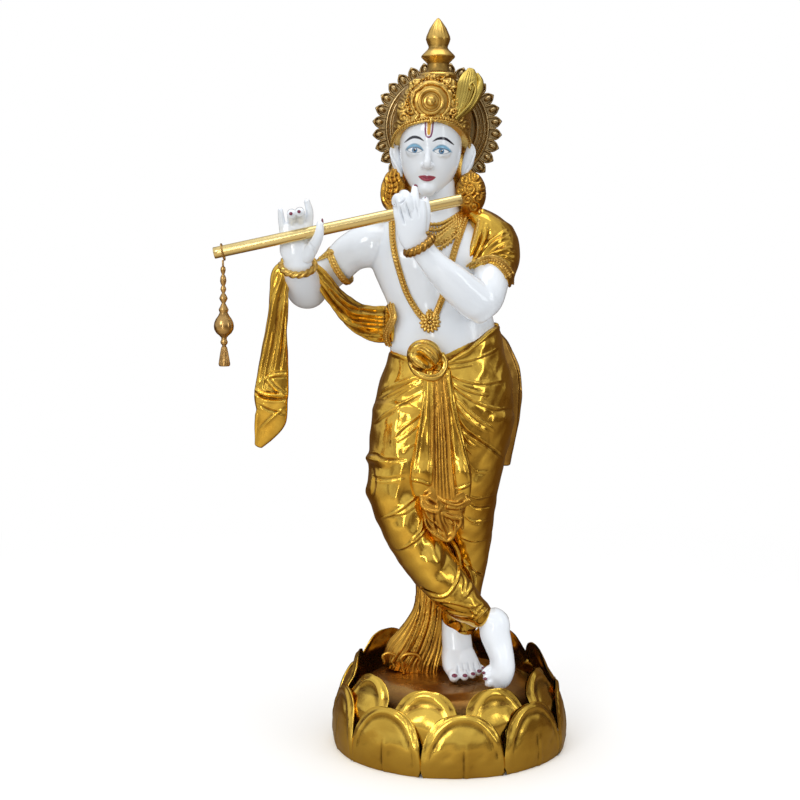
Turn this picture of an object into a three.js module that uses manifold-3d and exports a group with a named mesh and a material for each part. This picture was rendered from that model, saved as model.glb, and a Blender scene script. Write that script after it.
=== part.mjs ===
// A cast brass flute player standing cross-legged on a lotus plinth, with a halo, a flute and its tassel.
// Millimetres, +Z up, the front facing -Y, the origin at the centre of the plinth's underside.
import * as THREE from "three";
import { ParametricGeometry } from "three/addons/geometries/ParametricGeometry.js";
import { mergeVertices } from "three/addons/utils/BufferGeometryUtils.js";
import Module from "manifold-3d";

const wasm = await Module();
wasm.setup();

// Driving dimensions
const FIGURE_HEIGHT = 1374; // soles to the tip of the crown
const CLEARANCE = 0.3; // gap kept between pieces that touch

const DECK_HEIGHT = 146; // the ground under the feet
const DECK_R = 158; // where the flat ground ends
const RIM_HEIGHT = 122;
const RIM_R = 194;
const PLINTH_DEPTH_SHARE = 0.94; // the plinth is a little shallower than it is wide
const PETAL_COUNT = 9; // in each of the two rows
const PETAL_TURN = 5; // degrees from the front to the first outer petal
const PETAL_WALL = 14;
// Radii, then heights at the front and by how much more at the back. Neighbours overlap by `lap` at the foot
const OUTER_PETAL = { foot: 236, bulge: 252, tip: 240, height: 124, rise: 28, lap: 9 };
const INNER_PETAL = { foot: 180, bulge: 212, tip: 199, height: 161, rise: 40, lap: 30 };
const PETAL_BURY = 6; // how deep the outer petals' walls stand in the plinth
const CORE_R = OUTER_PETAL.foot - PETAL_WALL + PETAL_BURY; // the plinth inside its petals

const FLUTE_LENGTH = 502;
const FLUTE_R = 11.5;
const FLUTE_WALL = 2;
const FLUTE_RISE = 12.1; // degrees

const HALO_DISC_R = 110;
const HALO_TIP_R = 141;
const HALO_PETALS = 30;
const HALO_THICKNESS = 8;
const HALO_RELIEF = 4; // how far the mouldings stand in front of the disc
const HALO_BOSS_R = 26; // the stud behind the head that carries the halo
const HALO_BOSS_DEPTH = 40;

const TASSEL_RING_WIRE = 1.6;
const TASSEL_RING_PLAY = 3; // between the ring and the flute

// The pose is drawn in millimetres on a figure of this height, standing at this height
const DRAWN_HEIGHT = 1374;
const DRAWN_SOLE = 146;
const SCALE = FIGURE_HEIGHT / DRAWN_HEIGHT;

const FRONT = new THREE.Vector3(0, -1, 0);
const UP = new THREE.Vector3(0, 0, 1);
const TURN = 2 * Math.PI;
const radians = THREE.MathUtils.degToRad;

// A closed three.js geometry as a solid, with its seams merged and its collapsed faces dropped
function solid(geometry) {
  const plain = new THREE.BufferGeometry().setAttribute("position", geometry.getAttribute("position"));
  plain.setIndex(geometry.index);
  const merged = mergeVertices(plain, 1e-3);
  const index = merged.index.array;
  const position = merged.getAttribute("position").array;
  const kept = [];
  for (let i = 0; i < index.length; i += 3) {
    const [a, b, c] = index.slice(i, i + 3);
    if (a !== b && b !== c && a !== c) kept.push(a, b, c);
  }
  const faces = new Uint32Array(kept);
  const build = () => new wasm.Manifold(new wasm.Mesh({ numProp: 3, vertProperties: position, triVerts: faces }));
  const made = build();
  if (made.volume() >= 0) return made;
  for (let i = 0; i < faces.length; i += 3) [faces[i], faces[i + 1]] = [faces[i + 1], faces[i]];
  return build();
}

// A body swept through oval sections. A key is [x, y, z, half-width, half-depth], the depth running along `front`.
// fold(turn, along) gives a share by which the section stands out, for drapery.
function limb(keys, { front = FRONT, sides = 8, fold = () => 0 } = {}) {
  const last = keys.length - 1;
  const middle = (i) => new THREE.Vector3(...keys[Math.min(Math.max(i, 0), last)]);
  const frames = keys.map((_, i) => {
    const along = middle(i + 1).sub(middle(i - 1)).normalize();
    const depth = front.clone().addScaledVector(along, -front.dot(along)).normalize();
    return { depth, width: new THREE.Vector3().crossVectors(along, depth) };
  });
  const place = (u, v, target) => {
    const stack = Math.round(v * (last + 2));
    const i = Math.min(Math.max(stack - 1, 0), last);
    target.copy(middle(i));
    if (stack === 0 || stack === last + 2) return;
    const turn = (Math.round(u * sides) % sides) * (TURN / sides);
    const swell = 1 + fold(turn, i / last);
    target.addScaledVector(frames[i].width, Math.cos(turn) * keys[i][3] * swell);
    target.addScaledVector(frames[i].depth, Math.sin(turn) * keys[i][4] * swell);
  };
  return solid(new ParametricGeometry(place, sides, last + 2));
}

// A body turned about +Z, from [radius, height] pairs that start and end on the axis
function turned(profile, sides = 12) {
  const points = profile.map(([r, z]) => new THREE.Vector2(r, z));
  return solid(new THREE.LatheGeometry(points, sides).rotateX(Math.PI / 2));
}

function oval([x, y, z], [rx, ry, rz], { sides = 8, stacks = 4, yaw = 0, roll = 0 } = {}) {
  const ball = new THREE.SphereGeometry(1, sides, stacks).rotateX(Math.PI / 2).scale(rx, ry, rz);
  return solid(ball.rotateY(radians(roll)).rotateZ(radians(yaw)).translate(x, y, z));
}

// A thin rod with blunt ends along a path of [x, y, z] points
function rod(path, width, depth) {
  return limb(path.map((point) => [...point, width, depth]), { sides: 4 });
}

const join = (pieces) => pieces.reduce((all, piece) => all.add(piece));

// The key at a given height, between the two keys around it, or undefined past the limb's ends
function keyAt(keys, z) {
  for (let i = 1; i < keys.length; i++) {
    const [a, b] = [keys[i - 1], keys[i]];
    const share = (z - a[2]) / (b[2] - a[2]);
    if (share >= 0 && share <= 1) return a.map((value, k) => THREE.MathUtils.lerp(value, b[k], share));
  }
  return undefined;
}

// The y of a limb's front at a given x and z, or of its middle line where the limb doesn't reach
function frontOf(keys, x, z) {
  const key = keyAt(keys, z);
  if (!key) return keys[0][1];
  const [middle, y, , halfWidth, halfDepth] = key;
  const across = Math.min(Math.abs(x - middle) / halfWidth, 1);
  return y - halfDepth * Math.sqrt(1 - across * across);
}

// The body. Every key is [x, y, z, half-width, half-depth]
const TORSO = [
  [-8, 8, 820, 114, 74], [-20, 4, 889, 111, 72], [-24, 2, 921, 103, 68], [-29, 2, 950, 104, 69],
  [-32, 2, 985, 118, 75], [-33, 4, 1022, 134, 79], [-31, 6, 1056, 138, 75], [-29, 8, 1090, 120, 62],
  [-26, 6, 1124, 52, 46], [-28, 0, 1150, 41, 42], [-32, -8, 1184, 39, 42],
];
const HEAD = [
  [-43, -64, 1165, 18, 20], [-41, -44, 1184, 44, 46], [-40, -24, 1222, 62, 70], [-38, -16, 1254, 67, 79],
  [-37, -12, 1290, 68, 82], [-34, -9, 1335, 56, 68],
];
const RIGHT_ARM = [
  [-128, 8, 1058, 45, 43], [-165, 8, 1060, 47, 44], [-205, 18, 1046, 41, 39], [-236, 30, 1019, 38, 38],
  [-268, 44, 992, 37, 38], [-298, 58, 968, 37, 38],
];
const RIGHT_FOREARM = [
  [-301, 84, 962, 26, 26], [-302, 58, 964, 41, 39], [-304, 8, 971, 41, 40], [-307, -50, 990, 36, 35],
  [-310, -100, 1014, 30, 25], [-312, -117, 1046, 32, 18], [-312, -117, 1078, 36, 15], [-314, -116, 1114, 29, 10],
];
const LEFT_ARM = [
  [62, 6, 1066, 44, 43], [88, 4, 1064, 43, 44], [90, -24, 1032, 40, 42], [77, -58, 994, 36, 39],
  [61, -94, 950, 33, 36],
];
const LEFT_FOREARM = [
  [58, -108, 925, 26, 24], [45, -117, 944, 37, 35], [12, -129, 975, 37, 36], [-24, -140, 1008, 30, 30],
  [-54, -152, 1040, 24, 22], [-78, -161, 1072, 27, 18], [-84, -168, 1106, 31, 16], [-85, -167, 1134, 30, 13],
];
// Fingers and thumbs: the middle line, then the radius at the root and at the tip
const RIGHT_FINGERS = [
  { line: [[-290, -116, 1096], [-287, -117, 1122], [-291, -122, 1147]], root: 11, tip: 5 },
  { line: [[-336, -116, 1092], [-341, -117, 1110], [-344, -119, 1130]], root: 10, tip: 5 },
  { line: [[-305, -116, 1100], [-305, -126, 1124], [-305, -150, 1125]], root: 11, tip: 9 },
  { line: [[-321, -116, 1098], [-321, -126, 1120], [-321, -148, 1121]], root: 11, tip: 9 },
  { line: [[-290, -122, 1046], [-274, -142, 1058], [-264, -160, 1080], [-262, -158, 1107]], root: 15, tip: 7 },
];
const LEFT_FINGERS = [
  { line: [[-72, -169, 1116], [-76, -173, 1142], [-77, -157, 1172]], root: 12, tip: 7 },
  { line: [[-61, -156, 1090], [-56, -158, 1118], [-58, -149, 1149]], root: 12, tip: 9 },
];
// The three fingers that curl over the flute
const LEFT_CURL = [
  [-86, -170, 1098, 31, 15], [-96, -172, 1124, 25, 15], [-100, -168, 1146, 20, 14], [-103, -152, 1153, 17, 12],
];

const HIPS = [
  [0, 10, 862, 102, 72], [-8, 6, 826, 122, 86], [-8, 7, 772, 139, 99], [-15, 6, 704, 146, 105],
  [-23, 2, 650, 144, 99], [-26, 0, 612, 130, 90],
];
const RIGHT_LEG = [
  [-76, -4, 700, 88, 93], [-94, -22, 600, 79, 88], [-103, -34, 545, 70, 80], [-93, -46, 494, 60, 72],
  [-73, -56, 446, 53, 64], [-44, -64, 400, 51, 57], [-7, -72, 354, 46, 50], [30, -78, 318, 41, 44],
  [62, -82, 290, 33, 34],
];
const LEFT_LEG = [
  [54, 8, 700, 84, 88], [42, 6, 600, 71, 79], [36, 6, 540, 64, 71], [36, 10, 480, 59, 64],
  [36, 17, 405, 50, 53], [34, 20, 345, 39, 44], [26, 22, 300, 33, 38], [15, 24, 249, 29, 33],
];
const LEFT_FOOT = [
  [13, 70, 165, 14, 15], [14, 44, 174, 26, 28], [16, 8, 180, 29, 32], [24, -34, 168, 36, 21],
  [29, -64, 158, 38, 12], [30, -74, 155, 34, 9],
];
const RIGHT_FOOT = [
  [62, -80, 304, 24, 24], [88, -81, 282, 30, 28], [101, -85, 236, 23, 28], [107, -94, 194, 24, 34],
  [101, -101, 173, 28, 32], [80, -112, 166, 25, 22], [68, -116, 164, 22, 18],
];

function head() {
  const nose = limb([[-43, -88, 1262, 6, 6], [-45, -106, 1217, 11, 10], [-45, -98, 1208, 7, 6]], { sides: 4 });
  const ears = [
    limb([[-104, -8, 1200, 6, 6], [-114, -3, 1238, 12, 12], [-113, 4, 1268, 8, 7]], { sides: 5 }),
    limb([[26, -8, 1198, 7, 6], [37, -3, 1240, 12, 12], [37, 4, 1268, 8, 7]], { sides: 5 }),
  ];
  return [limb(HEAD, { sides: 12 }), nose, ...ears];
}

// A dome with a band at the brow, a medallion, a collar and a turned finial
function crown() {
  const dome = limb([[-41, -15, 1294, 79, 85], [-38, -8, 1335, 76, 84], [-32, -6, 1378, 57, 62],
    [-28, -6, 1402, 36, 36]], { sides: 12 });
  const finial = turned([[0, 1396], [34, 1396], [37, 1403], [23, 1416], [21, 1428], [35, 1441], [19, 1459],
    [25, 1476], [16, 1498], [0, 1520]], 8).translate([-28, -8, 0]);
  const band = limb([[-119, -10, 1266, 9, 10], [-94, -74, 1301, 8, 8], [-45, -99, 1309, 9, 8], [4, -80, 1301, 9, 9],
    [35, -14, 1268, 9, 10]], { front: UP, sides: 5 });
  const medallion = oval([-44, -92, 1344], [33, 12, 32]);
  const scrolls = [-1, 1].flatMap((side) => [0, 1].map((row) =>
    oval([-38 + side * (54 - row * 18), -62 + row * 11, 1334 + row * 28], [14, 12, 13],
      { sides: 5, stacks: 3, yaw: side * (35 - row * 10) })));
  const feather = limb([[8, -76, 1318, 8, 5], [26, -68, 1346, 23, 7], [40, -56, 1376, 25, 8], [42, -45, 1406, 11, 5]],
    { sides: 6 });
  return [dome, finial, band, medallion, ...scrolls, feather];
}

function hair() {
  const bunches = [
    limb([[-108, 1, 1214, 17, 18], [-119, -1, 1186, 25, 26], [-121, -2, 1154, 25, 26], [-114, 0, 1130, 12, 14]],
      { sides: 7 }),
    limb([[34, 2, 1202, 16, 16], [39, -4, 1184, 31, 31], [40, -5, 1154, 31, 30], [35, 0, 1130, 14, 16]], { sides: 7 }),
  ];
  const back = limb([[-36, 44, 1290, 52, 34], [-36, 52, 1230, 70, 30], [-34, 56, 1150, 75, 24], [-31, 72, 1084, 42, 14]],
    { sides: 8 });
  return [...bunches, back];
}

function hands() {
  const finger = ({ line, root, tip }) => {
    const last = line.length - 1;
    const keys = line.map((point, i) => {
      const r = root + ((tip - root) * i) / last;
      return [...point, r, r];
    });
    return limb(keys, { sides: 5, front: new THREE.Vector3(0.3, -1, 0.1).normalize() });
  };
  const curled = limb(LEFT_CURL, { sides: 8, fold: pleated(8, 0.1) });
  return [...RIGHT_FINGERS.map(finger), ...LEFT_FINGERS.map(finger), curled];
}

// The toes are ridges along the front of each foot
function feet() {
  const ankle = limb([[15, 26, 284, 26, 29], [15, 25, 225, 28, 31], [15, 26, 166, 25, 31]]);
  const toes = (from) => (turn, along) => (along > from ? pleated(8, 0.11)(turn) : 0);
  return [ankle, limb(LEFT_FOOT, { front: UP, fold: toes(0.7) }),
    limb(RIGHT_FOOT, { fold: toes(0.75) })];
}

// The waist cloth: hips and two legs, the centre pleats, and raised folds that fan out from the knot
function waistcloth() {
  const swirl = (count, slope, depth) => (turn, along) => depth * Math.cos(count * turn + slope * along * TURN);
  const body = [
    limb(HIPS, { sides: 12 }),
    limb(RIGHT_LEG, { sides: 10, fold: swirl(3, 2.2, 0.035) }),
    limb(LEFT_LEG, { sides: 10, fold: swirl(3, -2, 0.03) }),
  ];
  const knot = limb([[-56, -100, 866, 28, 16], [-64, -106, 844, 34, 19], [-46, -108, 812, 30, 18],
    [-32, -102, 794, 18, 12]], { sides: 6 });
  const pleats = limb([[-33, -96, 802, 24, 14], [-30, -108, 720, 36, 17], [-25, -108, 640, 48, 18],
    [-24, -106, 584, 60, 15]], { sides: 12, fold: pleated(12, 0.16) });
  const tail = limb([[-22, -102, 606, 42, 12], [-18, -98, 542, 48, 24], [-10, -96, 492, 30, 26],
    [-14, -94, 456, 22, 20]], { sides: 8 });
  const fan = (side, count, reach, rise, drop) => Array.from({ length: count }, (_, i) => {
    const share = i / (count - 1);
    const start = [-34 + side * 24, 806 - 46 * i];
    const end = [-14 + side * (reach - 14 * share), 806 + rise - drop * share];
    const line = [0, 0.3, 0.65, 1].map((t) => {
      const x = THREE.MathUtils.lerp(start[0], end[0], t);
      const z = THREE.MathUtils.lerp(start[1], end[1], t) - 12 * Math.sin(Math.PI * t);
      return [x, clothFront(x, z), z];
    });
    return rod(line, 7, 5);
  });
  return [...body, knot, pleats, tail, ...fan(1, 4, 116, 26, 210), ...fan(-1, 2, 112, -70, 60)];
}

// The front of the waist cloth at a given x and z
function clothFront(x, z) {
  return Math.min(...[HIPS, RIGHT_LEG, LEFT_LEG].map((keys) => frontOf(keys, x, z)));
}

// Sections that stand out at every second corner, as pleats
function pleated(sides, depth) {
  return (turn) => depth * Math.cos((sides / 2) * turn);
}

// A strip of cloth with folds along it. A key is [x, y, z, half-width, half-thickness]
function strip(keys, front) {
  const ridges = pleated(8, 0.16);
  return limb(keys, { front, fold: (turn) => ridges(turn) - 0.16 * Math.abs(Math.cos(turn)) });
}

function scarf() {
  const tail = strip([[-314, -62, 1020, 30, 12], [-348, -66, 1000, 27, 13], [-354, -65, 940, 21, 13],
    [-360, -62, 876, 27, 13], [-366, -62, 810, 32, 13], [-370, -62, 752, 35, 15], [-371, -62, 700, 29, 13],
    [-404, -62, 644, 7, 5]], FRONT);
  const swag = strip([[-340, -40, 1014, 17, 13], [-306, -34, 1022, 31, 13], [-258, -6, 982, 30, 13],
    [-220, 26, 930, 35, 13], [-178, 50, 898, 42, 13], [-110, 74, 896, 46, 10], [-10, 84, 940, 46, 10],
    [74, 48, 1052, 40, 11]], new THREE.Vector3(0.35, -1, 0.55).normalize());
  const shawl = limb([[46, 12, 1122, 18, 40], [76, 6, 1092, 34, 56], [95, 0, 1056, 43, 58], [91, -22, 1020, 42, 53],
    [81, -42, 986, 36, 46]], { front: new THREE.Vector3(0.3, -1, -0.4).normalize(), sides: 10, fold: pleated(10, 0.025) });
  const drop = strip([[4, 66, 884, 22, 11], [62, 74, 872, 28, 13], [104, 68, 824, 33, 11], [121, 62, 758, 37, 12],
    [120, 60, 690, 33, 11], [110, 60, 590, 23, 9]], FRONT);
  return [tail, swag, shawl, drop];
}

// Cloth that trails to the ground behind the legs and carries the figure
function trailingCloth() {
  const fall = limb([[-8, 70, 700, 70, 26], [-24, 60, 540, 54, 35], [-34, 48, 380, 38, 34], [-40, 42, 280, 38, 35],
    [-66, 36, 204, 56, 39], [-82, 34, DRAWN_SOLE, 70, 42]], { sides: 10, fold: pleated(10, 0.07) });
  const hems = [[-118, 0], [-84, -8]].map(([x, y]) =>
    limb([[x + 6, y + 20, DRAWN_SOLE + 66, 14, 14], [x - 2, y, DRAWN_SOLE, 17, 14]], { sides: 6 }));
  return [fall, ...hems];
}

// Rings round the arms, the long necklace with its pendant, and the collar necklace
function jewels() {
  const ring = ([x, y, z], r, wire, axis) => {
    const torus = new THREE.TorusGeometry(r, wire, 4, 8);
    const turn = new THREE.Quaternion().setFromUnitVectors(UP, new THREE.Vector3(...axis).normalize());
    return solid(torus.applyQuaternion(turn).translate(x, y, z));
  };
  const onChest = (x, z) => [x, frontOf(TORSO, x, z), z];
  const strand = (points) => rod(points.map(([x, z]) => onChest(x, z)), 6, 4);
  const collar = limb([[-80, 1100], [-54, 1076], [-30, 1062], [-8, 1078], [16, 1108]]
    .map(([x, z], i) => [...onChest(x, z), 14 - 3 * Math.abs(i - 2), 6]), { sides: 4 });
  return [
    ring([-311, -104, 1019], 31, 6, [0, -0.6, 0.8]),
    ring([-70, -157, 1060], 24, 9, [-0.5, -0.25, 0.8]),
    ring([-234, 29, 1020], 38, 6, [0.72, -0.34, -0.6]),
    strand([[-121, 1100], [-120, 1060], [-106, 1006], [-78, 944], [-48, 902]]),
    strand([[24, 1112], [8, 1062], [-10, 992], [-28, 938], [-46, 902]]),
    collar,
    oval(onChest(-46, 902), [24, 10, 26]),
  ];
}

function person() {
  return [limb(TORSO, { sides: 12 }), ...head(), limb(RIGHT_ARM), limb(RIGHT_FOREARM, { front: new THREE.Vector3(0, -0.7, -0.7) }),
    limb(LEFT_ARM), limb(LEFT_FOREARM), ...hands(), ...feet()];
}

// Drawn millimetres to the part's own, for points and for solids
const atScale = ([x, y, z]) => [x * SCALE, y * SCALE, (z - DRAWN_SOLE) * SCALE + DECK_HEIGHT];
const scaled = (shape) => shape.translate([0, 0, -DRAWN_SOLE]).scale(SCALE).translate([0, 0, DECK_HEIGHT]);

const FLUTE_MIDDLE = atScale([-229, -139, 1096.5]);
const HALO_CENTRE = atScale([-27, 84, 1306]);

function alongFlute(shape) {
  return shape.rotate([0, 90 - FLUTE_RISE, 0]).translate(FLUTE_MIDDLE);
}

function flute() {
  const half = FLUTE_LENGTH / 2;
  const wall = new THREE.Shape().absarc(0, 0, FLUTE_R, 0, TURN);
  wall.holes.push(new THREE.Path().absarc(0, 0, FLUTE_R - FLUTE_WALL, 0, TURN, true));
  const tube = new THREE.ExtrudeGeometry(wall, { depth: FLUTE_LENGTH, bevelEnabled: false, curveSegments: 8 });
  return alongFlute(solid(tube.translate(0, 0, -half)));
}

function halo() {
  const t = HALO_THICKNESS;
  const pitch = TURN / HALO_PETALS;
  const reaches = [[0.08, 0.12], [0.24, 0.62], [0.5, 1], [0.76, 0.62], [0.92, 0.12]];
  const root = HALO_DISC_R;
  const outline = Array.from({ length: HALO_PETALS }, (_, i) => reaches.map(([share, reach]) => {
    const r = root + (HALO_TIP_R - root) * reach;
    const turn = (i + share) * pitch;
    return new THREE.Vector2(r * Math.cos(turn), r * Math.sin(turn));
  })).flat();
  const plate = new THREE.ExtrudeGeometry(new THREE.Shape(outline), { depth: t, bevelEnabled: false });
  const front = t / 2 + HALO_RELIEF;
  const mouldings = turned([[0, 0], [root + 3, 0], [root + 3, front - 2], [root - 4, front], [root - 10, front - 3],
    [0, front - 3]], HALO_PETALS);
  return solid(plate.translate(0, 0, -t / 2)).add(mouldings).rotate([90, 0, 0]).translate(HALO_CENTRE);
}

// The tassel hangs from a wire ring round the flute, near its far end
function tassel() {
  const out = FLUTE_LENGTH / 2 - 18;
  const rise = radians(FLUTE_RISE);
  const [x, y, z] = [FLUTE_MIDDLE[0] - out * Math.cos(rise), FLUTE_MIDDLE[1], FLUTE_MIDDLE[2] - out * Math.sin(rise)];
  const ringR = FLUTE_R + TASSEL_RING_PLAY + TASSEL_RING_WIRE;
  const loop = solid(new THREE.TorusGeometry(ringR, TASSEL_RING_WIRE, 4, 12)).rotate([0, 90 - FLUTE_RISE, 0]);
  const beads = turned([[0, 0.5 - ringR], [2, 0.5 - ringR], [2, -28], [5, -36], [4, -44], [7, -58], [4, -66], [7, -73],
    [4, -80], [11, -92], [5, -100], [13, -121], [22, -134], [26, -147], [21, -162], [9, -170], [9, -180],
    [5, -185], [15, -227], [0, -227]], 7);
  return loop.add(beads).translate([x, y, z - TASSEL_RING_PLAY / 2]);
}

// One lotus petal: a round-topped shell with a thick wall, widest at the ground, facing -Y
function petal({ foot, bulge, tip, lap }, height) {
  const width = 2 * foot * Math.sin(Math.PI / PETAL_COUNT) + lap;
  const rows = 4;
  const across = 3;
  const around = 2 * across;
  const widest = 0.35;
  const place = (u, v, target) => {
    const slot = Math.round(u * around) % around;
    const stack = Math.round(v * (rows + 2)) - 1;
    const climb = (Math.min(Math.max(stack, 0), rows) / rows) * (Math.PI / 2);
    const h = Math.sin(climb) ** 0.9;
    const outside = slot <= across;
    const share = h < widest ? Math.sin((h / widest) * (Math.PI / 2)) : Math.cos(((h - widest) / (1 - widest)) * (Math.PI / 2));
    const lean = THREE.MathUtils.lerp(h < widest ? foot : tip, bulge, share) - (outside ? 0 : PETAL_WALL);
    const capped = stack < 0 || stack > rows;
    const side = ((outside ? slot : around - slot) / across) * 2 - 1;
    const x = capped ? 0 : side * (width / 2) * Math.max(Math.cos(climb) ** 0.7, 0.04) * (outside ? 1 : 0.86);
    target.set(x, (x * x) / (2.2 * lean) - lean, h * height);
  };
  return solid(new ParametricGeometry(place, around, rows + 2));
}

function plinth() {
  const core = turned([[0, 0], [CORE_R, 0], [CORE_R, RIM_HEIGHT / 4], [(CORE_R + RIM_R) / 2, RIM_HEIGHT * 0.7],
    [RIM_R, RIM_HEIGHT], [DECK_R, DECK_HEIGHT], [0, DECK_HEIGHT]], 18);
  const row = (kind, offset) => Array.from({ length: PETAL_COUNT }, (_, i) => {
    const turn = PETAL_TURN + (360 * (i + offset)) / PETAL_COUNT;
    return petal(kind, kind.height + (kind.rise * (1 - Math.cos(radians(turn)))) / 2).rotate([0, 0, turn]);
  });
  return join([core, ...row(OUTER_PETAL, 0), ...row(INNER_PETAL, 0.5)]).scale([1, PLINTH_DEPTH_SHARE, 1]);
}

function figure() {
  const cast = [...person(), ...crown(), ...hair(), ...waistcloth(), ...scarf(), ...trailingCloth(), ...jewels()];
  const [x, y, z] = HALO_CENTRE;
  const haloFront = y - HALO_THICKNESS / 2 - HALO_RELIEF - CLEARANCE;
  const behind = solid(new THREE.CylinderGeometry(HALO_TIP_R + 20, HALO_TIP_R + 20, 200, 24));
  const boss = solid(new THREE.CylinderGeometry(HALO_BOSS_R, HALO_BOSS_R, HALO_BOSS_DEPTH, 10));
  const sink = FLUTE_R + CLEARANCE;
  const bore = alongFlute(solid(new THREE.CylinderGeometry(sink, sink, FLUTE_LENGTH + 20, 16).rotateX(Math.PI / 2)));
  const big = 4000;
  const ground = solid(new THREE.BoxGeometry(big, big, big).translate(0, 0, DECK_HEIGHT - big / 2));
  return scaled(join(cast))
    .subtract(behind.translate([x, haloFront + 100, z]))
    .add(boss.translate([x, haloFront + HALO_RELIEF - 1 - HALO_BOSS_DEPTH / 2, z]))
    .subtract(bore)
    .subtract(ground);
}

const GOLD = { color: 0xc8951f, metalness: 1, roughness: 0.25 };
const LIT_GOLD = { color: 0xd9a93a, metalness: 1, roughness: 0.18 };

function node(name, shape, look) {
  const { vertProperties, triVerts } = shape.getMesh();
  const geometry = new THREE.BufferGeometry()
    .setAttribute("position", new THREE.BufferAttribute(vertProperties, 3))
    .setIndex(new THREE.BufferAttribute(triVerts, 1));
  const mesh = new THREE.Mesh(geometry, new THREE.MeshStandardMaterial(look));
  mesh.name = name;
  return mesh;
}

const statue = new THREE.Group();
statue.add(
  node("lotus_base", plinth(), GOLD),
  node("figure", figure(), GOLD),
  node("halo", halo(), GOLD),
  node("flute", flute(), LIT_GOLD),
  node("flute_tassel", tassel(), LIT_GOLD),
);
export default statue;
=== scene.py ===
import math

import bmesh
import bpy
import numpy as np
from mathutils import Matrix, Vector
from mathutils.bvhtree import BVHTree


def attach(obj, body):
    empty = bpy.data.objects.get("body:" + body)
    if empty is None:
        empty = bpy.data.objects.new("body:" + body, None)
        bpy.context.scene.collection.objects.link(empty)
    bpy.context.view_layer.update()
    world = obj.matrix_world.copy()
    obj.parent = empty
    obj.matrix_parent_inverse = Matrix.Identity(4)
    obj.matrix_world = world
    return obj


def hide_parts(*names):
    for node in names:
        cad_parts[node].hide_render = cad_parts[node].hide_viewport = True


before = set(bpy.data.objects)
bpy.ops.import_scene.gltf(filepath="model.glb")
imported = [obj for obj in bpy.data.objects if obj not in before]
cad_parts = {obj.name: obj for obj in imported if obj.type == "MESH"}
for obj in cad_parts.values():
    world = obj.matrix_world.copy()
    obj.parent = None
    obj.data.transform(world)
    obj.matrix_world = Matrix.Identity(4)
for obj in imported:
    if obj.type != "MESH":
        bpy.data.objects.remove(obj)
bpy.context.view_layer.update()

# Everything is drawn in millimetres, +Z up, the figure facing -Y; each mesh is turned to metres at its end
MM = 0.001
TURN = 2 * math.pi
GROUND_TOP = 147.0  # the height at which the soles rest
FRONT = (0, -1, 0)
UP = (0, 0, 1)
EYE = np.array([-105.9, -2910.0, 1060.0])  # where the camera stands
EYE_PITCH = 6.36  # degrees down
LENS = 62.6
PIXELS = 800 * LENS / 36  # the picture's scale at one unit from the eye
DRAWING_PLANE = -95.0  # folds and relief are drawn on the plane at this y, as seen from the eye
MERGE = 0.02
ROUND_END = 0.05  # share of a limb's length over which each end closes

SWEEP_STEP = 0.02  # the reach over which a limb's direction is read, in keys
CAMERA_FAR = 60  # metres

BODY_GRAIN = 2.8  # voxel sizes
CLOTH_GRAIN = 2.0
FOLD_GRAIN = 1.9
FINE_GRAIN = 1.5
FACE_GRAIN = 1.25
STROKE_REACH = 6  # how far a stroke is felt, in its own widths
LIMB_MARGIN = 7  # how far round a limb the faces are looked through
CORD_LIFT = 2.5  # how far a cord's middle lies above what it rests on
CURL_WIND = 0.85  # share of its radius that a curl winds in by

HEAD_MIDDLE = np.array([-43.0, -14.0, 1256.0])
HEAD_YAW = 5  # degrees towards the viewer's left
HEAD_ROLL = 3  # degrees, the crown towards the viewer's right
EYE_LINE = -8  # under the upper third, from the hairline to the brows
EYE_OUT = 27
FACE_FRONT = 72  # a plane just before the mouth, from which the lips are laid
FACE_BACK = 30  # nothing is painted behind this
HEAD_HIDDEN = 14  # the head behind this is under the crown and the locks
UNPAINTED = -9.0
MEDALLION = (-44.5, 1343)
MEDALLION_REACH = (44, 46)  # the half-axes of the ring from which the short rays start
RAY_END = (56, 57)
HALO_CENTRE = (-27, 84, 1306)
HALO_PETALS = 30
HALO_PETAL_FOOT = 107  # how far out the small petals start
HALO_PETAL_BACK = -3.5
FLUTE_MIDDLE = (-229, -139, 1096.5)
FLUTE_LENGTH = 502
FLUTE_RISE = 12.1  # degrees
FLUTE_R = 11.5
FLUTE_WALL = 2
FLUTE_EDGE = 0.6
TASSEL_INSET = 18  # from the flute's far end
TASSEL_WIRE = 1.6
TASSEL_PLAY = 3
TASSEL_STRANDS = 14
DEPTH_SHARE = 0.94  # the lotus base's depth for its width
PETAL_COUNT = 9
PETAL_TURN = 5  # degrees from the front to the first outer petal
BACK_TURN = -7  # degrees by which the hindmost inner petal is off its even place
DECK_R = 226
DECK_WAVES = 5
FLOOR_SIZE = 14
FLOOR_DROP = -0.0005
FLOOR_FADE = (1.0, 2.6)  # metres from the middle over which the floor turns to plain white

# The body. Every key is [x, y, z, half-width, half-depth]
TORSO = [
    [-8, 8, 800, 112, 74], [-20, 4, 889, 111, 72], [-24, 2, 921, 103, 68], [-29, 2, 950, 104, 69],
    [-32, 2, 985, 118, 75], [-33, 4, 1022, 134, 79], [-31, 6, 1056, 138, 75], [-29, 8, 1090, 120, 62],
    [-26, 6, 1124, 52, 46], [-28, 0, 1150, 41, 42], [-32, -8, 1184, 39, 42],
]
RIGHT_ARM = [[-128, 8, 1058, 45, 43], [-165, 8, 1060, 47, 44], [-205, 18, 1046, 41, 39],
             [-236, 30, 1019, 38, 38], [-268, 44, 992, 37, 38], [-298, 58, 968, 37, 38]]
RIGHT_FOREARM = [[-301, 80, 963, 30, 28], [-302, 58, 964, 41, 39], [-304, 8, 971, 41, 40],
                 [-307, -50, 990, 36, 35], [-310, -100, 1014, 30, 25], [-311, -112, 1032, 29, 20],
                 [-312, -116, 1044, 29, 19]]
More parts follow.
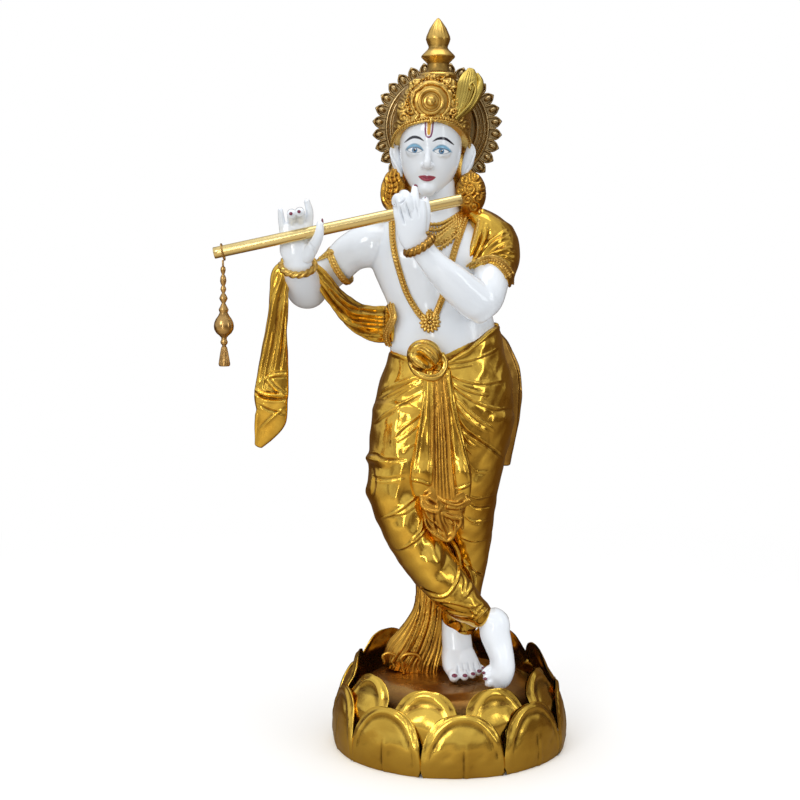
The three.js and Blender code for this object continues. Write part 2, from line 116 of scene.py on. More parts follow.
LEFT_ARM = [[62, 6, 1066, 44, 43], [88, 4, 1064, 43, 44], [90, -24, 1032, 40, 42], [80, -64, 994, 38, 39],
            [66, -97, 952, 37, 37], [52, -108, 930, 28, 28]]
LEFT_FOREARM = [[63, -102, 925, 30, 26], [48, -110, 944, 38, 36], [13, -124, 975, 37, 37],
                [-24, -140, 1008, 30, 30], [-52, -151, 1040, 24, 22], [-64, -158, 1058, 24, 19]]
RIGHT_PALM = [[-311, -110, 1030, 28, 20], [-312, -117, 1048, 32, 18], [-312, -117, 1078, 35, 14],
              [-313, -116, 1100, 31, 11]]
LEFT_PALM = [[-62, -152, 1050, 24, 19], [-80, -161, 1074, 27, 18], [-84, -167, 1098, 30, 17],
             [-84, -169, 1120, 31, 15], [-85, -166, 1142, 29, 13]]
RIGHT_FOOT = [[78, -82, 284, 28, 26], [90, -82, 277, 32, 29], [92, -84, 256, 31.5, 30],
              [99, -86, 232, 29, 31], [106, -91, 206, 26, 33], [106, -97, 184, 27, 31],
              [98, -103, 166, 27, 24], [92, -105, 156, 21, 18]]
LEFT_FOOT = [[14, 66, 164, 15, 14], [15, 44, 176, 30, 28], [18, 8, 184, 35, 33], [24, -26, 172, 40, 25],
             [32, -48, 162, 41, 16]]
LEFT_ANKLE = [[13, 26, 290, 31, 31], [14, 23, 240, 31, 32], [17, 13, 208, 32.5, 35], [19, 2, 180, 33.5, 37]]


# Numbers

def unit(vectors):
    return vectors / np.maximum(np.linalg.norm(vectors, axis=-1, keepdims=True), 1e-9)


def smooth(keys, at):
    """The rows of keys at fractional places, on a Catmull-Rom curve through them."""
    keys = np.asarray(keys, float)
    last = len(keys) - 1
    padded = np.vstack([2 * keys[0] - keys[1], keys, 2 * keys[-1] - keys[-2]])
    first = np.clip(np.asarray(at).astype(int), 0, last - 1)
    share = (np.asarray(at) - first)[:, None]
    a, b, c, d = (padded[first + k] for k in range(4))
    return b + 0.5 * share * (c - a + share * (2 * a - 5 * b + 4 * c - d + share * (3 * (b - c) + d - a)))


def curve(points, count):
    """So many points along a smooth curve through a few."""
    return smooth(points, np.linspace(0, len(points) - 1, count))


def evenly(points, spacing):
    """Points a fixed distance apart along a path."""
    path = curve(points, 40 * len(points))
    run = np.concatenate([[0], np.cumsum(np.linalg.norm(np.diff(path, axis=0), axis=1))])
    count = max(int(run[-1] / spacing), 1)
    stops = np.linspace(0, run[-1], count + 1)
    return np.stack([np.interp(stops, run, path[:, k]) for k in range(path.shape[1])], axis=1)


def ease(low, high, value):
    """0 at low and 1 at high, with soft ends."""
    share = np.clip((value - low) / (high - low), 0, 1)
    return share * share * (3 - 2 * share)


def bump(distance, width):
    """1 at no distance, falling softly to 0 over a width or two."""
    return np.exp(-(distance / width) ** 2)


# Forms: closed bmeshes

def sheet(place, around, along):
    """A grid of around by along faces, its corners at place(u, v), u and v from 0 to 1, seams merged."""
    form = bmesh.new()
    bmesh.ops.create_grid(form, x_segments=around, y_segments=along, size=1)
    flat = np.array([corner.co[:2] for corner in form.verts])
    low, high = flat.min(axis=0), flat.max(axis=0)
    share = (flat - low) / (high - low)
    for corner, point in zip(form.verts, place(share[:, 0], share[:, 1])):
        corner.co = point
    bmesh.ops.remove_doubles(form, verts=form.verts, dist=MERGE)
    bmesh.ops.recalc_face_normals(form, faces=form.faces)
    return form


def limb(keys, front=FRONT, around=32, along=48, fold=None, cap=0.7, square=1.0):
    """A body swept through oval sections, depth along front, standing out by the share fold(turn, share)."""
    last = len(keys) - 1
    front = np.array(front, float)

    def place(u, v):
        reach = v * (1 + 2 * ROUND_END) - ROUND_END
        at = np.clip(reach, 0, 1) * last
        row = smooth(keys, at)
        step = (smooth(keys, np.clip(at + SWEEP_STEP, 0, last))
                - smooth(keys, np.clip(at - SWEEP_STEP, 0, last)))
        tangent = unit(step[:, :3])
        depth = unit(front - tangent * (tangent @ front)[:, None])
        width = np.cross(tangent, depth)
        over = np.clip(np.maximum(-reach, reach - 1) / ROUND_END, 0, 1)
        swell = np.sqrt(np.clip(1 - over ** 2, 0, 1))
        turn = TURN * u
        if fold:
            swell = swell * (1 + fold(turn, at / last))
        end = cap * np.minimum(row[:, 3], row[:, 4]) * over * np.sign(reach - 0.5)
        across, deep = np.cos(turn), np.sin(turn)
        if square != 1:
            across = np.sign(across) * np.abs(across) ** square
            deep = np.sign(deep) * np.abs(deep) ** square
        return (row[:, :3] + tangent * end[:, None] + width * (across * row[:, 3] * swell)[:, None]
                + depth * (deep * row[:, 4] * swell)[:, None])

    return sheet(place, around, along)


def rod(path, radius, front=(0.1, -1, 0.2), around=10, per_key=6, end=None):
    """A round rod along a few points, its radius running to `end` where that is given."""
    last = len(path) - 1
    radii = [radius + ((end if end is not None else radius) - radius) * i / last for i in range(last + 1)]
    keys = [[*point, r, r] for point, r in zip(path, radii)]
    return limb(keys, front, around, max(per_key * last, 6) + 4)


def ball(centre, radii, turn=(0, 0, 0), around=16, rings=10):
    form = bmesh.new()
    bmesh.ops.create_uvsphere(form, u_segments=around, v_segments=rings, radius=1)
    place = Matrix.Translation(centre)
    for axis, angle in zip("XYZ", turn):
        place = place @ Matrix.Rotation(math.radians(angle), 4, axis)
    bmesh.ops.transform(form, matrix=place @ Matrix.Diagonal((*radii, 1)), verts=form.verts)
    return form


def beads(points, radius, detail=1):
    form = bmesh.new()
    for point in points:
        bmesh.ops.create_icosphere(form, subdivisions=detail, radius=radius, matrix=Matrix.Translation(point))
    return form


def turned(profile, centre=(0, 0, 0), around=48, soften=0, axis=UP):
    """A profile of [radius, height] pairs, from axis to axis, spun about +Z and then stood along an axis."""
    form = bmesh.new()
    corners = [form.verts.new((r, 0, z)) for r, z in profile]
    edges = [form.edges.new(pair) for pair in zip(corners, corners[1:])]
    bmesh.ops.spin(form, geom=corners + edges, cent=(0, 0, 0), axis=UP, angle=TURN, steps=around,
                   use_merge=True)
    bmesh.ops.remove_doubles(form, verts=form.verts, dist=MERGE)
    if soften:
        sharp = [edge for edge in form.edges if len(edge.link_faces) == 2 and edge.calc_face_angle() > 0.3]
        bmesh.ops.bevel(form, geom=sharp, offset=soften, affect="EDGES", segments=2, profile=0.5, material=-1)
    bmesh.ops.recalc_face_normals(form, faces=form.faces)
    stand = Matrix.Translation(centre) @ Vector(UP).rotation_difference(Vector(axis)).to_matrix().to_4x4()
    bmesh.ops.transform(form, matrix=stand, verts=form.verts)
    return form


def twisted_ring(centre, radii, wire, axis, strands=3, twists=14, depth=0.18, around=30, along=160):
    """A ring of twisted strands. radii are its two half-widths, wire the cord's radius."""
    stand = np.array(Vector(UP).rotation_difference(Vector(axis)).to_matrix())

    def place(u, v):
        turn, round_wire = TURN * v, TURN * u
        thick = wire * (1 + depth * np.cos(strands * round_wire - twists * turn))
        out = np.stack([np.cos(turn), np.sin(turn), 0 * turn], axis=1)
        flat = out * np.array([radii[0], radii[1], 1]) + out * (thick * np.cos(round_wire))[:, None]
        flat[:, 2] = thick * np.sin(round_wire)
        return flat @ stand.T + np.array(centre)

    return sheet(place, around, along)


def twisted_cord(path, wire, strands=2, pitch=12, depth=0.2, around=12, step=1.5):
    """A cord of twisted strands along a path of points."""
    stops = evenly(path, step)
    keys = np.hstack([stops, np.full((len(stops), 2), wire)])
    length = step * len(stops)
    return limb(keys, (0.05, -1, 0.1), around, len(stops),
                fold=lambda turn, share: depth * np.cos(strands * turn - TURN * share * length / pitch))


def merged(forms, name="form"):
    """Several forms as one mesh, in metres. The forms are used up."""
    whole = bmesh.new()
    for form in forms:
        part = bpy.data.meshes.new("part")
        form.to_mesh(part)
        form.free()
        whole.from_mesh(part)
        bpy.data.meshes.remove(part)
    bmesh.ops.scale(whole, vec=(MM, MM, MM), verts=whole.verts)
    mesh = bpy.data.meshes.new(name)
    whole.to_mesh(mesh)
    whole.free()
    return mesh


def placed(name, mesh):
    piece = bpy.data.objects.new(name, mesh)
    bpy.context.scene.collection.objects.link(piece)
    return piece


def cast(name, forms):
    """Forms kept as they are, in one piece."""
    return placed(name, merged(forms, name))


def clay(name, forms, grain, rub=3):
    """Forms run together into one skin, then rubbed smooth."""
    return remade(cast(name, forms), grain, rub)


def form_of(piece):
    """A piece taken back as a form, in millimetres."""
    form = bmesh.new()
    form.from_mesh(piece.data)
    bmesh.ops.scale(form, vec=(1 / MM, 1 / MM, 1 / MM), verts=form.verts)
    bpy.data.objects.remove(piece)
    return form


def applied(piece):
    """A piece whose modifiers are worked into its mesh."""
    shown = piece.evaluated_get(bpy.context.evaluated_depsgraph_get())
    worked = bpy.data.meshes.new_from_object(shown)
    piece.modifiers.clear()
    before = piece.data
    piece.data = worked
    bpy.data.meshes.remove(before)
    worked.name = piece.name
    return piece


def remade(piece, grain, rub):
    """A piece as one skin of even grain, rubbed smooth."""
    remesh = piece.modifiers.new("clay", "REMESH")
    remesh.mode = "VOXEL"
    remesh.voxel_size = grain * MM
    rubbing = piece.modifiers.new("rub", "SMOOTH")
    rubbing.factor = 0.5
    rubbing.iterations = rub
    return applied(piece)


# Sculpting: moves on a finished skin

def corners_of(piece):
    flat = np.empty(3 * len(piece.data.vertices), np.float32)
    piece.data.vertices.foreach_get("co", flat)
    return flat.reshape(-1, 3).astype(float) / MM


def normals_of(piece):
    flat = np.empty(3 * len(piece.data.vertices), np.float32)
    piece.data.vertex_normals.foreach_get("vector", flat)
    return flat.reshape(-1, 3).astype(float)


def move_to(piece, corners):
    piece.data.vertices.foreach_set("co", (corners * MM).astype(np.float32).ravel())
    piece.data.update()


def links_of(piece):
    flat = np.empty(2 * len(piece.data.edges), np.int32)
    piece.data.edges.foreach_get("vertices", flat)
    return flat.reshape(-1, 2)


def blurred(values, links, times):
    """Values spread to their neighbours so many times."""
    ends = np.concatenate([links[:, 0], links[:, 1]])
    others = np.concatenate([links[:, 1], links[:, 0]])
    count = np.maximum(np.bincount(ends, minlength=len(values)), 1)
    for _ in range(times):
        spread = [np.bincount(ends, values[others, k], len(values)) / count for k in range(values.shape[1])]
        values = 0.5 * values + 0.5 * np.stack(spread, axis=1)
    return values


def keep(piece, name, values):
    """A value at every corner, for the materials."""
    layer = piece.data.attributes.get(name) or piece.data.attributes.new(name, "FLOAT", "POINT")
    layer.data.foreach_set("value", values.astype(np.float32))


def mark_hollows(piece, reach=10, depth=2.0):
    """How far each corner lies below the surface around it: 1 in a deep recess, -1 on an edge."""
    corners = corners_of(piece)
    sunk = ((blurred(corners, links_of(piece), reach) - corners) * normals_of(piece)).sum(axis=1) / depth
    keep(piece, "hollow", np.clip(sunk, -1, 1))


def from_the_eye(corners, plane=DRAWING_PLANE):
    """Where the sight line to each corner crosses the drawing plane, as x and z."""
    ray = corners - EYE
    return (EYE + ray * ((plane - EYE[1]) / ray[:, 1])[:, None])[:, [0, 2]]


def facing_the_eye(corners, normals, soft=0.55):
    return np.clip(-(normals * unit(corners - EYE)).sum(axis=1) / soft, 0, 1)


def along_path(points, path):
    """Each point's distance from a path, its side of it, and its share of the path's length."""
    steps = np.linalg.norm(np.diff(path, axis=0), axis=1)
    run = np.concatenate([[0], np.cumsum(steps)])
    best = np.full(len(points), 1e9)
    side = np.zeros(len(points))
    share = np.zeros(len(points))
    for i, (start, end) in enumerate(zip(path, path[1:])):
        ray = end - start
        off = points - start
        t = np.clip(off @ ray / max(ray @ ray, 1e-9), 0, 1)
        gap = off - t[:, None] * ray
        distance = np.hypot(gap[:, 0], gap[:, 1])
        nearer = distance < best
        best[nearer] = distance[nearer]
        side[nearer] = np.sign(ray[0] * off[:, 1] - ray[1] * off[:, 0])[nearer]
        share[nearer] = (run[i] + t * steps[i])[nearer] / run[-1]
    return best, side, share


# What a stroke does across its width q, on side s: a rounded fold, a cut, an overlapping edge, a plain roll
PROFILES = {
    "fold": lambda q, s: bump(q, 1) - 0.35 * bump(q - 2, 0.8),
    "cut": lambda q, s: -bump(q, 1) + 0.3 * bump(q - 1.9, 0.8),
    "lap": lambda q, s: (np.where(s > 0, 0.45 * np.exp(-q / 3) + 0.55 * bump(q, 0.8), bump(q, 0.6))
                         - 0.3 * np.where(s < 0, bump(q - 1.6, 0.8), 0)),
    "roll": lambda q, s: bump(q, 1),
}


def carve(piece, strokes, view=from_the_eye, facing=facing_the_eye):
    """Strokes drawn on a piece's front, each a line of [x, z] points, a width, a height and a kind."""
    corners, normals = corners_of(piece), normals_of(piece)
    seen, faces = view(corners), facing(corners, normals)
    lift = np.zeros(len(corners))
    for line, width, height, kind in strokes:
        path = curve(line, 5 * len(line)) if len(line) > 2 else np.array(line, float)
        reach = STROKE_REACH * width
        near = np.where((faces > 0) & (seen > path.min(axis=0) - reach).all(axis=1)
                        & (seen < path.max(axis=0) + reach).all(axis=1))[0]
        if not len(near):
            continue
        distance, side, share = along_path(seen[near], path)
        taper = np.sqrt(np.clip(np.sin(math.pi * np.clip(share, 0.02, 0.98)), 0, 1))
        lift[near] += height * PROFILES[kind](distance / width, side) * taper
    move_to(piece, corners + normals * (lift * faces)[:, None])
    return piece


def turned_to(way, soft):
    """How squarely corners are turned to a way, for strokes drawn from there."""
    return lambda corners, normals: np.clip(normals @ np.array(way, float) / soft, 0, 1)


REAR = dict(view=lambda corners: corners[:, [0, 2]], facing=turned_to((0, 1, 0), 0.3))


def swell(piece, spots, view=from_the_eye, facing=facing_the_eye):
    """Soft rises and dips drawn on the front of a piece: [x, z, half-width, half-height, height]."""
    corners, normals = corners_of(piece), normals_of(piece)
    seen = view(corners)
    lift = sum(h * np.exp(-((seen[:, 0] - x) / a) ** 2 - ((seen[:, 1] - z) / b) ** 2)
               for x, z, a, b, h in spots)
    move_to(piece, corners + normals * (lift * facing(corners, normals))[:, None])
    return piece


def touch_of(piece, without=()):
    """A function that gives the point of a piece seen at [x, z] on the drawing plane, and its normal.

    Faces on the limb whose keys are given as without are looked through."""
    corners = corners_of(piece)
    faces = [tuple(face.vertices) for face in piece.data.polygons]
    if len(without):
        middles = np.array([corners[face[0]] for face in faces])
        spine = curve(without, 50)
        free = np.ones(len(faces), bool)
        for x, y, z, wide, deep in spine:
            free &= np.linalg.norm(middles - (x, y, z), axis=1) > max(wide, deep) + LIMB_MARGIN
        faces = [face for face, kept in zip(faces, free) if kept]
    tree = BVHTree.FromPolygons(corners.tolist(), faces)

    def touch(x, z, plane=DRAWING_PLANE):
        ray = (Vector((x, plane, z)) - Vector(EYE)).normalized()
        spot, normal, _, _ = tree.ray_cast(Vector(EYE), ray)
        if spot is None:
            spot, normal, _, _ = tree.find_nearest(Vector((x, plane, z)))
        return np.array(spot), np.array(normal)

    touch.nearest = lambda point: [np.array(found) for found in tree.find_nearest(Vector(point))[:2]]
    return touch


def laid_on(touch, line, lift, spacing=3.0):
    """A path of points that follows a surface a little above it, from a few [x, z] points."""
    path = []
    for x, z in evenly(line, spacing):
        spot, normal = touch(x, z)
        path.append(spot + normal * lift)
    return np.array(path)


def resting(touch, points):
    """A path through rough points, drawn to the nearest surface and laid a little above it."""
    return np.array([spot + normal * CORD_LIFT for spot, normal in map(touch.nearest, evenly(points, 3))])


# Materials

def wire(tree, kind, **inputs):
    """A node with its settings and its inputs, given by name; a value that is a socket is linked."""
    node = tree.nodes.new(kind)
    for name, value in inputs.items():
        if hasattr(node, name) and name not in node.inputs:
            setattr(node, name, value)
            continue
        socket = node.inputs[int(name[1:])] if name[0] == "_" and name[1:].isdigit() else node.inputs[name]
        if isinstance(value, bpy.types.NodeSocket):
            tree.links.new(value, socket)
        else:
            socket.default_value = value
    return node


def mixed(tree, factor, first, second):
    """A colour between two, by a factor socket."""
    node = tree.nodes.new("ShaderNodeMix")
    node.data_type = "RGBA"
    for socket, value in ((node.inputs[0], factor), (node.inputs[6], first), (node.inputs[7], second)):
        if isinstance(value, bpy.types.NodeSocket):
            tree.links.new(value, socket)
        else:
            socket.default_value = value
    return node.outputs[2]


def ramped(tree, value, low, high, to_low=0.0, to_high=1.0):
    node = wire(tree, "ShaderNodeMapRange", _0=value, _1=low, _2=high, _3=to_low, _4=to_high)
    node.clamp = True
    return node.outputs[0]


def calculated(tree, operation, first, second):
    return wire(tree, "ShaderNodeMath", operation=operation, _0=first, _1=second).outputs[0]


def noise(tree, place, scale, detail, rough=0.5):
    node = wire(tree, "ShaderNodeTexNoise", Vector=place, Scale=scale, Detail=detail, Roughness=rough)
    return node.outputs["Fac"]


def kept(tree, name):
    """The value that keep() left at the corners."""
    return wire(tree, "ShaderNodeAttribute", attribute_name=name).outputs["Fac"]


COLOUR = "NodeSocketColor"
NUMBER = "NodeSocketFloat"
FINISH = {"Color": COLOUR, "Roughness": NUMBER, "Height": NUMBER}


def fresh_group(name, inputs):
    """A node group for a finish, with the inputs named and the outputs that every finish has."""
    group = bpy.data.node_groups.new(name, "ShaderNodeTree")
    for way, sockets in (("INPUT", inputs), ("OUTPUT", FINISH)):
        for socket, kind in sockets.items():
            group.interface.new_socket(socket, in_out=way, socket_type=kind)
    return group


def give_out(group, **sockets):
    result = group.nodes.new("NodeGroupOutput")
    for name, socket in sockets.items():
        group.links.new(socket, result.inputs[name])
    return group


def tarnish_and_shade_group():
    """Brass that is bright on its edges, clouded between, and brown in its recesses: patina there, and
    painted shade.
    """
    group = fresh_group("tarnish and shade", {"Bright": COLOUR, "Deep": COLOUR, "Stain and shade": COLOUR, "Cloud size": NUMBER,
                                    "Cloud amount": NUMBER, "Polish": NUMBER, "Dull": NUMBER,
                                    "Texture": NUMBER})
    given = group.nodes.new("NodeGroupInput").outputs
    place = wire(group, "ShaderNodeTexCoord").outputs["Object"]
    hollow = kept(group, "hollow")
    clouds = noise(group, place, given["Cloud size"], 5.0, 0.6)
    specks = noise(group, place, 190.0, 3.0)
    grain = noise(group, place, 46.0, 4.0, 0.55)
    cloudy = calculated(group, "MULTIPLY", ramped(group, clouds, 0.42, 0.72), given["Cloud amount"])
    # The dark colour in the recesses is patina and painted shade together
    sunk = ramped(group, hollow, 0.02, 0.55)
    recess_stain_and_shade = calculated(group, "MULTIPLY", sunk, ramped(group, specks, 0.25, 0.6, 0.7, 1.0))
    edge = ramped(group, hollow, -0.1, -0.6)
    colour = mixed(group, cloudy, given["Bright"], given["Deep"])
    colour = mixed(group, recess_stain_and_shade, colour, given["Stain and shade"])
    colour = mixed(group, calculated(group, "MULTIPLY", edge, 0.35), colour, given["Bright"])
    dull = calculated(group, "MAXIMUM", recess_stain_and_shade, calculated(group, "MULTIPLY", cloudy, 0.35))
    rough = wire(group, "ShaderNodeMapRange", _0=dull, _1=0.0, _2=1.0, _3=given["Polish"], _4=given["Dull"])
    fine = calculated(group, "MULTIPLY", specks, 0.12)
    height = calculated(group, "MULTIPLY", calculated(group, "ADD", grain, fine), given["Texture"])
    return give_out(group, Color=colour, Roughness=rough.outputs[0], Height=height)


def enamel_group():
    """Brushed gloss enamel, slightly clouded, with painted shade in its hollows."""
    group = fresh_group("enamel", {"Light": COLOUR, "Dark": COLOUR, "Shade": COLOUR})
    given = group.nodes.new("NodeGroupInput").outputs
    place = wire(group, "ShaderNodeTexCoord").outputs["Object"]
    tint = noise(group, place, 7.0, 3.0)
    colour = mixed(group, ramped(group, tint, 0.35, 0.7), given["Light"], given["Dark"])
    # The Shade colour is painted shade, mixed in where the corner lies in a hollow
    colour = mixed(group, ramped(group, kept(group, "hollow"), 0.05, 0.7, 0.0, 0.6), colour, given["Shade"])
    brushed = noise(group, place, 24.0, 4.0)
    return give_out(group, Color=colour, Roughness=ramped(group, brushed, 0.3, 0.7, 0.10, 0.18),
                    Height=brushed)


def finished(name, group, values, relief, depth):
    """A material with a finish group's roughness and surface, and the group's colour to be used or left."""
    material = bpy.data.materials.new(name)
    material.use_nodes = True
    tree = material.node_tree
    shader = tree.nodes["Principled BSDF"]
    worn = tree.nodes.new("ShaderNodeGroup")
    worn.node_tree = group
    for socket, value in values.items():
        worn.inputs[socket].default_value = value
    surface = wire(tree, "ShaderNodeBump", Strength=relief, Distance=depth, Height=worn.outputs["Height"])
    tree.links.new(worn.outputs["Roughness"], shader.inputs["Roughness"])
    tree.links.new(surface.outputs["Normal"], shader.inputs["Normal"])
    return material, tree, shader, worn.outputs["Color"]


def brass(name, bright, deep, stain_and_shade, cloud_size=9.0, cloud_amount=0.7, polish=0.12, dull=0.42, texture=1.0):
    """A brass finish: the finish group's colour, roughness and surface on a metal; its recesses are patina
    and painted shade.
    """
    values = {"Bright": (*bright, 1), "Deep": (*deep, 1), "Stain and shade": (*stain_and_shade, 1), "Cloud size": cloud_size,
              "Cloud amount": cloud_amount, "Polish": polish, "Dull": dull, "Texture": texture}
    material, tree, shader, colour = finished(name, TARNISH_AND_SHADE, values, 0.35, 0.0012)
    shader.inputs["Metallic"].default_value = 1.0
    tree.links.new(colour, shader.inputs["Base Color"])
    return material


def enamel(name, paints=(), plain=None):
    """Gloss enamel over the casting, white unless a plain colour is given.

    Each paint is an attribute that is the distance inside its edge, a colour and the edge's softness."""
    values = {"Light": (0.84, 0.88, 0.93, 1), "Dark": (0.79, 0.84, 0.90, 1), "Shade": (0.40, 0.42, 0.47, 1)}
    material, tree, shader, colour = finished(name, ENAMEL, values, 0.12, 0.0010)
    for attribute, paint, soft in paints:
        colour = mixed(tree, ramped(tree, kept(tree, attribute), -soft, soft), colour, (*paint, 1))
    if plain:
        shader.inputs["Base Color"].default_value = (*plain, 1)
    else:
        tree.links.new(colour, shader.inputs["Base Color"])
    shader.inputs["Coat Weight"].default_value = 0.6
    shader.inputs["Coat Roughness"].default_value = 0.06
    shader.inputs["Specular IOR Level"].default_value = 0.55
    return material


TARNISH_AND_SHADE = tarnish_and_shade_group()
ENAMEL = enamel_group()
POLISHED = brass("polished brass", (0.87, 0.59, 0.13), (0.60, 0.32, 0.04), (0.18, 0.07, 0.012))
CLOTH = brass("gilt cloth", (0.87, 0.55, 0.085), (0.54, 0.26, 0.022), (0.15, 0.055, 0.008), cloud_size=11.0,
              cloud_amount=0.85, polish=0.11)
# A darker copy of the gilt cloth: painted shade on the scarf end that hangs behind the hip; the left bracelet
# uses it too
DARK_CLOTH = brass("darker cloth", (0.52, 0.29, 0.06), (0.26, 0.12, 0.025), (0.09, 0.03, 0.008),
                   cloud_size=9.0,
                   cloud_amount=0.8, polish=0.2, dull=0.5)
STREAKED = brass("trailing cloth brass", (0.74, 0.40, 0.06), (0.40, 0.17, 0.022), (0.12, 0.04, 0.007),
                 cloud_size=11.0,
                 cloud_amount=0.9, polish=0.24, dull=0.55)
ORNAMENT = brass("gilt ornament", (0.76, 0.50, 0.13), (0.42, 0.22, 0.04), (0.10, 0.04, 0.01), cloud_size=26.0,
                 polish=0.26, dull=0.55, texture=1.6)
ANTIQUE = brass("antique brass", (0.50, 0.37, 0.18), (0.22, 0.14, 0.06), (0.05, 0.03, 0.012), cloud_size=22.0,
                polish=0.22, dull=0.5)
FEATHER = brass("olive brass", (0.58, 0.43, 0.10), (0.32, 0.20, 0.035), (0.10, 0.045, 0.01), cloud_size=20.0,
                polish=0.22,
                dull=0.5)
PALE = brass("flute brass", (0.88, 0.69, 0.31), (0.66, 0.45, 0.14), (0.20, 0.11, 0.04), cloud_size=6.0,
             cloud_amount=0.4, polish=0.2, dull=0.4, texture=0.6)
LINK = brass("tassel brass", (0.60, 0.37, 0.13), (0.26, 0.13, 0.035), (0.10, 0.05, 0.02), cloud_size=30.0,
             polish=0.2)
LOTUS = brass("lotus brass", (0.85, 0.555, 0.09), (0.55, 0.30, 0.035), (0.15, 0.07, 0.012), cloud_size=8.0,
              cloud_amount=0.7, polish=0.16)
GROUND = brass("lotus ground", (0.46, 0.24, 0.06), (0.26, 0.11, 0.025), (0.10, 0.05, 0.015), cloud_size=13.0,
               cloud_amount=0.9, polish=0.26, dull=0.5, texture=2.0)
SKIN = enamel("white enamel")
NAIL = enamel("nail paint", plain=(0.17, 0.015, 0.05))


# Finishing

def thin(piece, share, hidden=()):
    """Fewer faces where the surface is plain, or only at the corners that are hidden."""
    fewer = piece.modifiers.new("thin", "DECIMATE")
    fewer.ratio = share
    if len(hidden):
        piece.vertex_groups.new(name="hidden").add(hidden, 1.0, "REPLACE")
        fewer.vertex_group = "hidden"
    applied(piece)


def uneven(piece, amount):
    """The slight swells of hand-finished metal."""
    corners = corners_of(piece)
    x, y, z = corners.T
    lift = (np.sin(x / 9.1 + 1.7 * np.sin(z / 14.3)) + np.sin(z / 11.3 + y / 13 + 1.3 * np.sin(x / 17.9))
            + 0.6 * np.sin((x - z) / 6.1 + y / 8))
    move_to(piece, corners + normals_of(piece) * (amount * lift / 2.6)[:, None])


def done(piece, node, slot, material, reach=10, depth=2.0, share=1.0, swells=0.0):
    """The last touches of every piece: its material, its shading, its hollows and its place in the frame."""
    if swells:
        uneven(piece, swells)
    if share < 1:
        thin(piece, share)
    mark_hollows(piece, reach, depth)
    piece.data.polygons.foreach_set("use_smooth", [True] * len(piece.data.polygons))
    piece.data.materials.clear()
    piece.data.materials.append(material)
    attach(piece, "root")
    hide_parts(node)


def on_figure(piece, material, **settings):
    done(piece, "figure", "polished_brass", material, **settings)


# The body

def make_body():
    forms = [limb(TORSO, around=64, along=90), limb(RIGHT_ARM), limb(RIGHT_FOREARM, (0, -0.7, -0.7)),
             limb(LEFT_ARM),
             limb(LEFT_FOREARM)]
    body = clay("body", forms, BODY_GRAIN, 9)
    swell(body, [[-92, 1024, 46, 34, 5], [24, 1024, 46, 34, 4], [-36, 1000, 12, 60, -3],
                 [-28, 876, 60, 40, 5], [-96, 930, 22, 30, -2], [40, 930, 22, 30, -2]])
    carve(body, [([[50, 1010], [66, 985], [79, 958], [86, 934]], 9, 3.5, "roll")])
    on_figure(body, SKIN, share=0.4)
    return body


def make_right_hand():
    """The palm faces forward behind the flute, with the thumb in front of it."""
    fingers = [
        ([[-292, -114, 1078], [-288, -117, 1104], [-286, -119, 1126], [-291, -124, 1148]], 11, 6),
        ([[-334, -114, 1074], [-339, -117, 1094], [-342, -118, 1112], [-344, -121, 1131]], 10, 5),
        ([[-304, -114, 1078], [-304, -118, 1104], [-304, -132, 1124], [-303, -150, 1124]], 11, 9),
        ([[-319, -114, 1076], [-320, -118, 1102], [-320, -132, 1121], [-320, -149, 1120]], 11, 9),
        ([[-294, -118, 1036], [-280, -136, 1054], [-266, -157, 1078], [-262, -160, 1104]], 16, 7),
    ]
    forms = [limb(RIGHT_PALM, square=0.8)] + [rod(line, root, end=tip, around=16)
                                              for line, root, tip in fingers]
    forms += [ball((-288, -124, 1052), (15, 13, 22), (0, 24, 0)), ball((-334, -120, 1054), (12, 12, 24))]
    hand = clay("right_hand", forms, FINE_GRAIN, 3)
    carve(hand, [([[-298, 1064], [-300, 1084], [-296, 1098]], 2, 1.4, "cut"),
                 ([[-274, 1036], [-284, 1058], [-300, 1070]], 2.2, 1.6, "cut"),
                 ([[-335, 1078], [-320, 1086], [-300, 1084]], 1.6, 1.0, "cut")])
    on_figure(hand, SKIN, reach=6, depth=1.5, share=0.6)


def make_left_hand():
    """The back of the hand faces forward; the fingers bend over the flute, the first and the thumb less."""
    fingers = [
        ([[-103, -162, 1098], [-108, -168, 1116], [-111, -160, 1130], [-112, -148, 1136]], 11, 8),
        ([[-97, -168, 1112], [-102, -175, 1136], [-108, -173, 1151], [-114, -167, 1149], [-115, -162, 1140]],
         11, 7.5),
        ([[-86, -170, 1114], [-90, -177, 1140], [-95, -171, 1156], [-101, -157, 1159]], 12, 9),
        ([[-72, -169, 1116], [-76, -173, 1142], [-77, -165, 1161], [-77, -155, 1174]], 12, 6),
        ([[-61, -154, 1090], [-56, -158, 1116], [-56, -154, 1138], [-58, -148, 1150]], 12, 8),
    ]
    forms = [limb(LEFT_PALM, square=0.85)] + [rod(line, root, end=tip, around=16)
                                              for line, root, tip in fingers]
    hand = clay("left_hand", forms, FINE_GRAIN, 2)
    carve(hand, [([[-108, 1138], [-105, 1128], [-97, 1102]], 1.9, 4.5, "cut"),
                 ([[-94, 1144], [-92, 1134], [-83, 1112]], 1.9, 4.5, "cut"),
                 ([[-76, 1152], [-71, 1130], [-69, 1114]], 1.8, 2.0, "cut"),
                 ([[-110, 1141], [-100, 1146], [-95, 1156]], 1.7, 2.2, "cut")])
    on_figure(hand, SKIN, reach=6, depth=1.5, share=0.6)


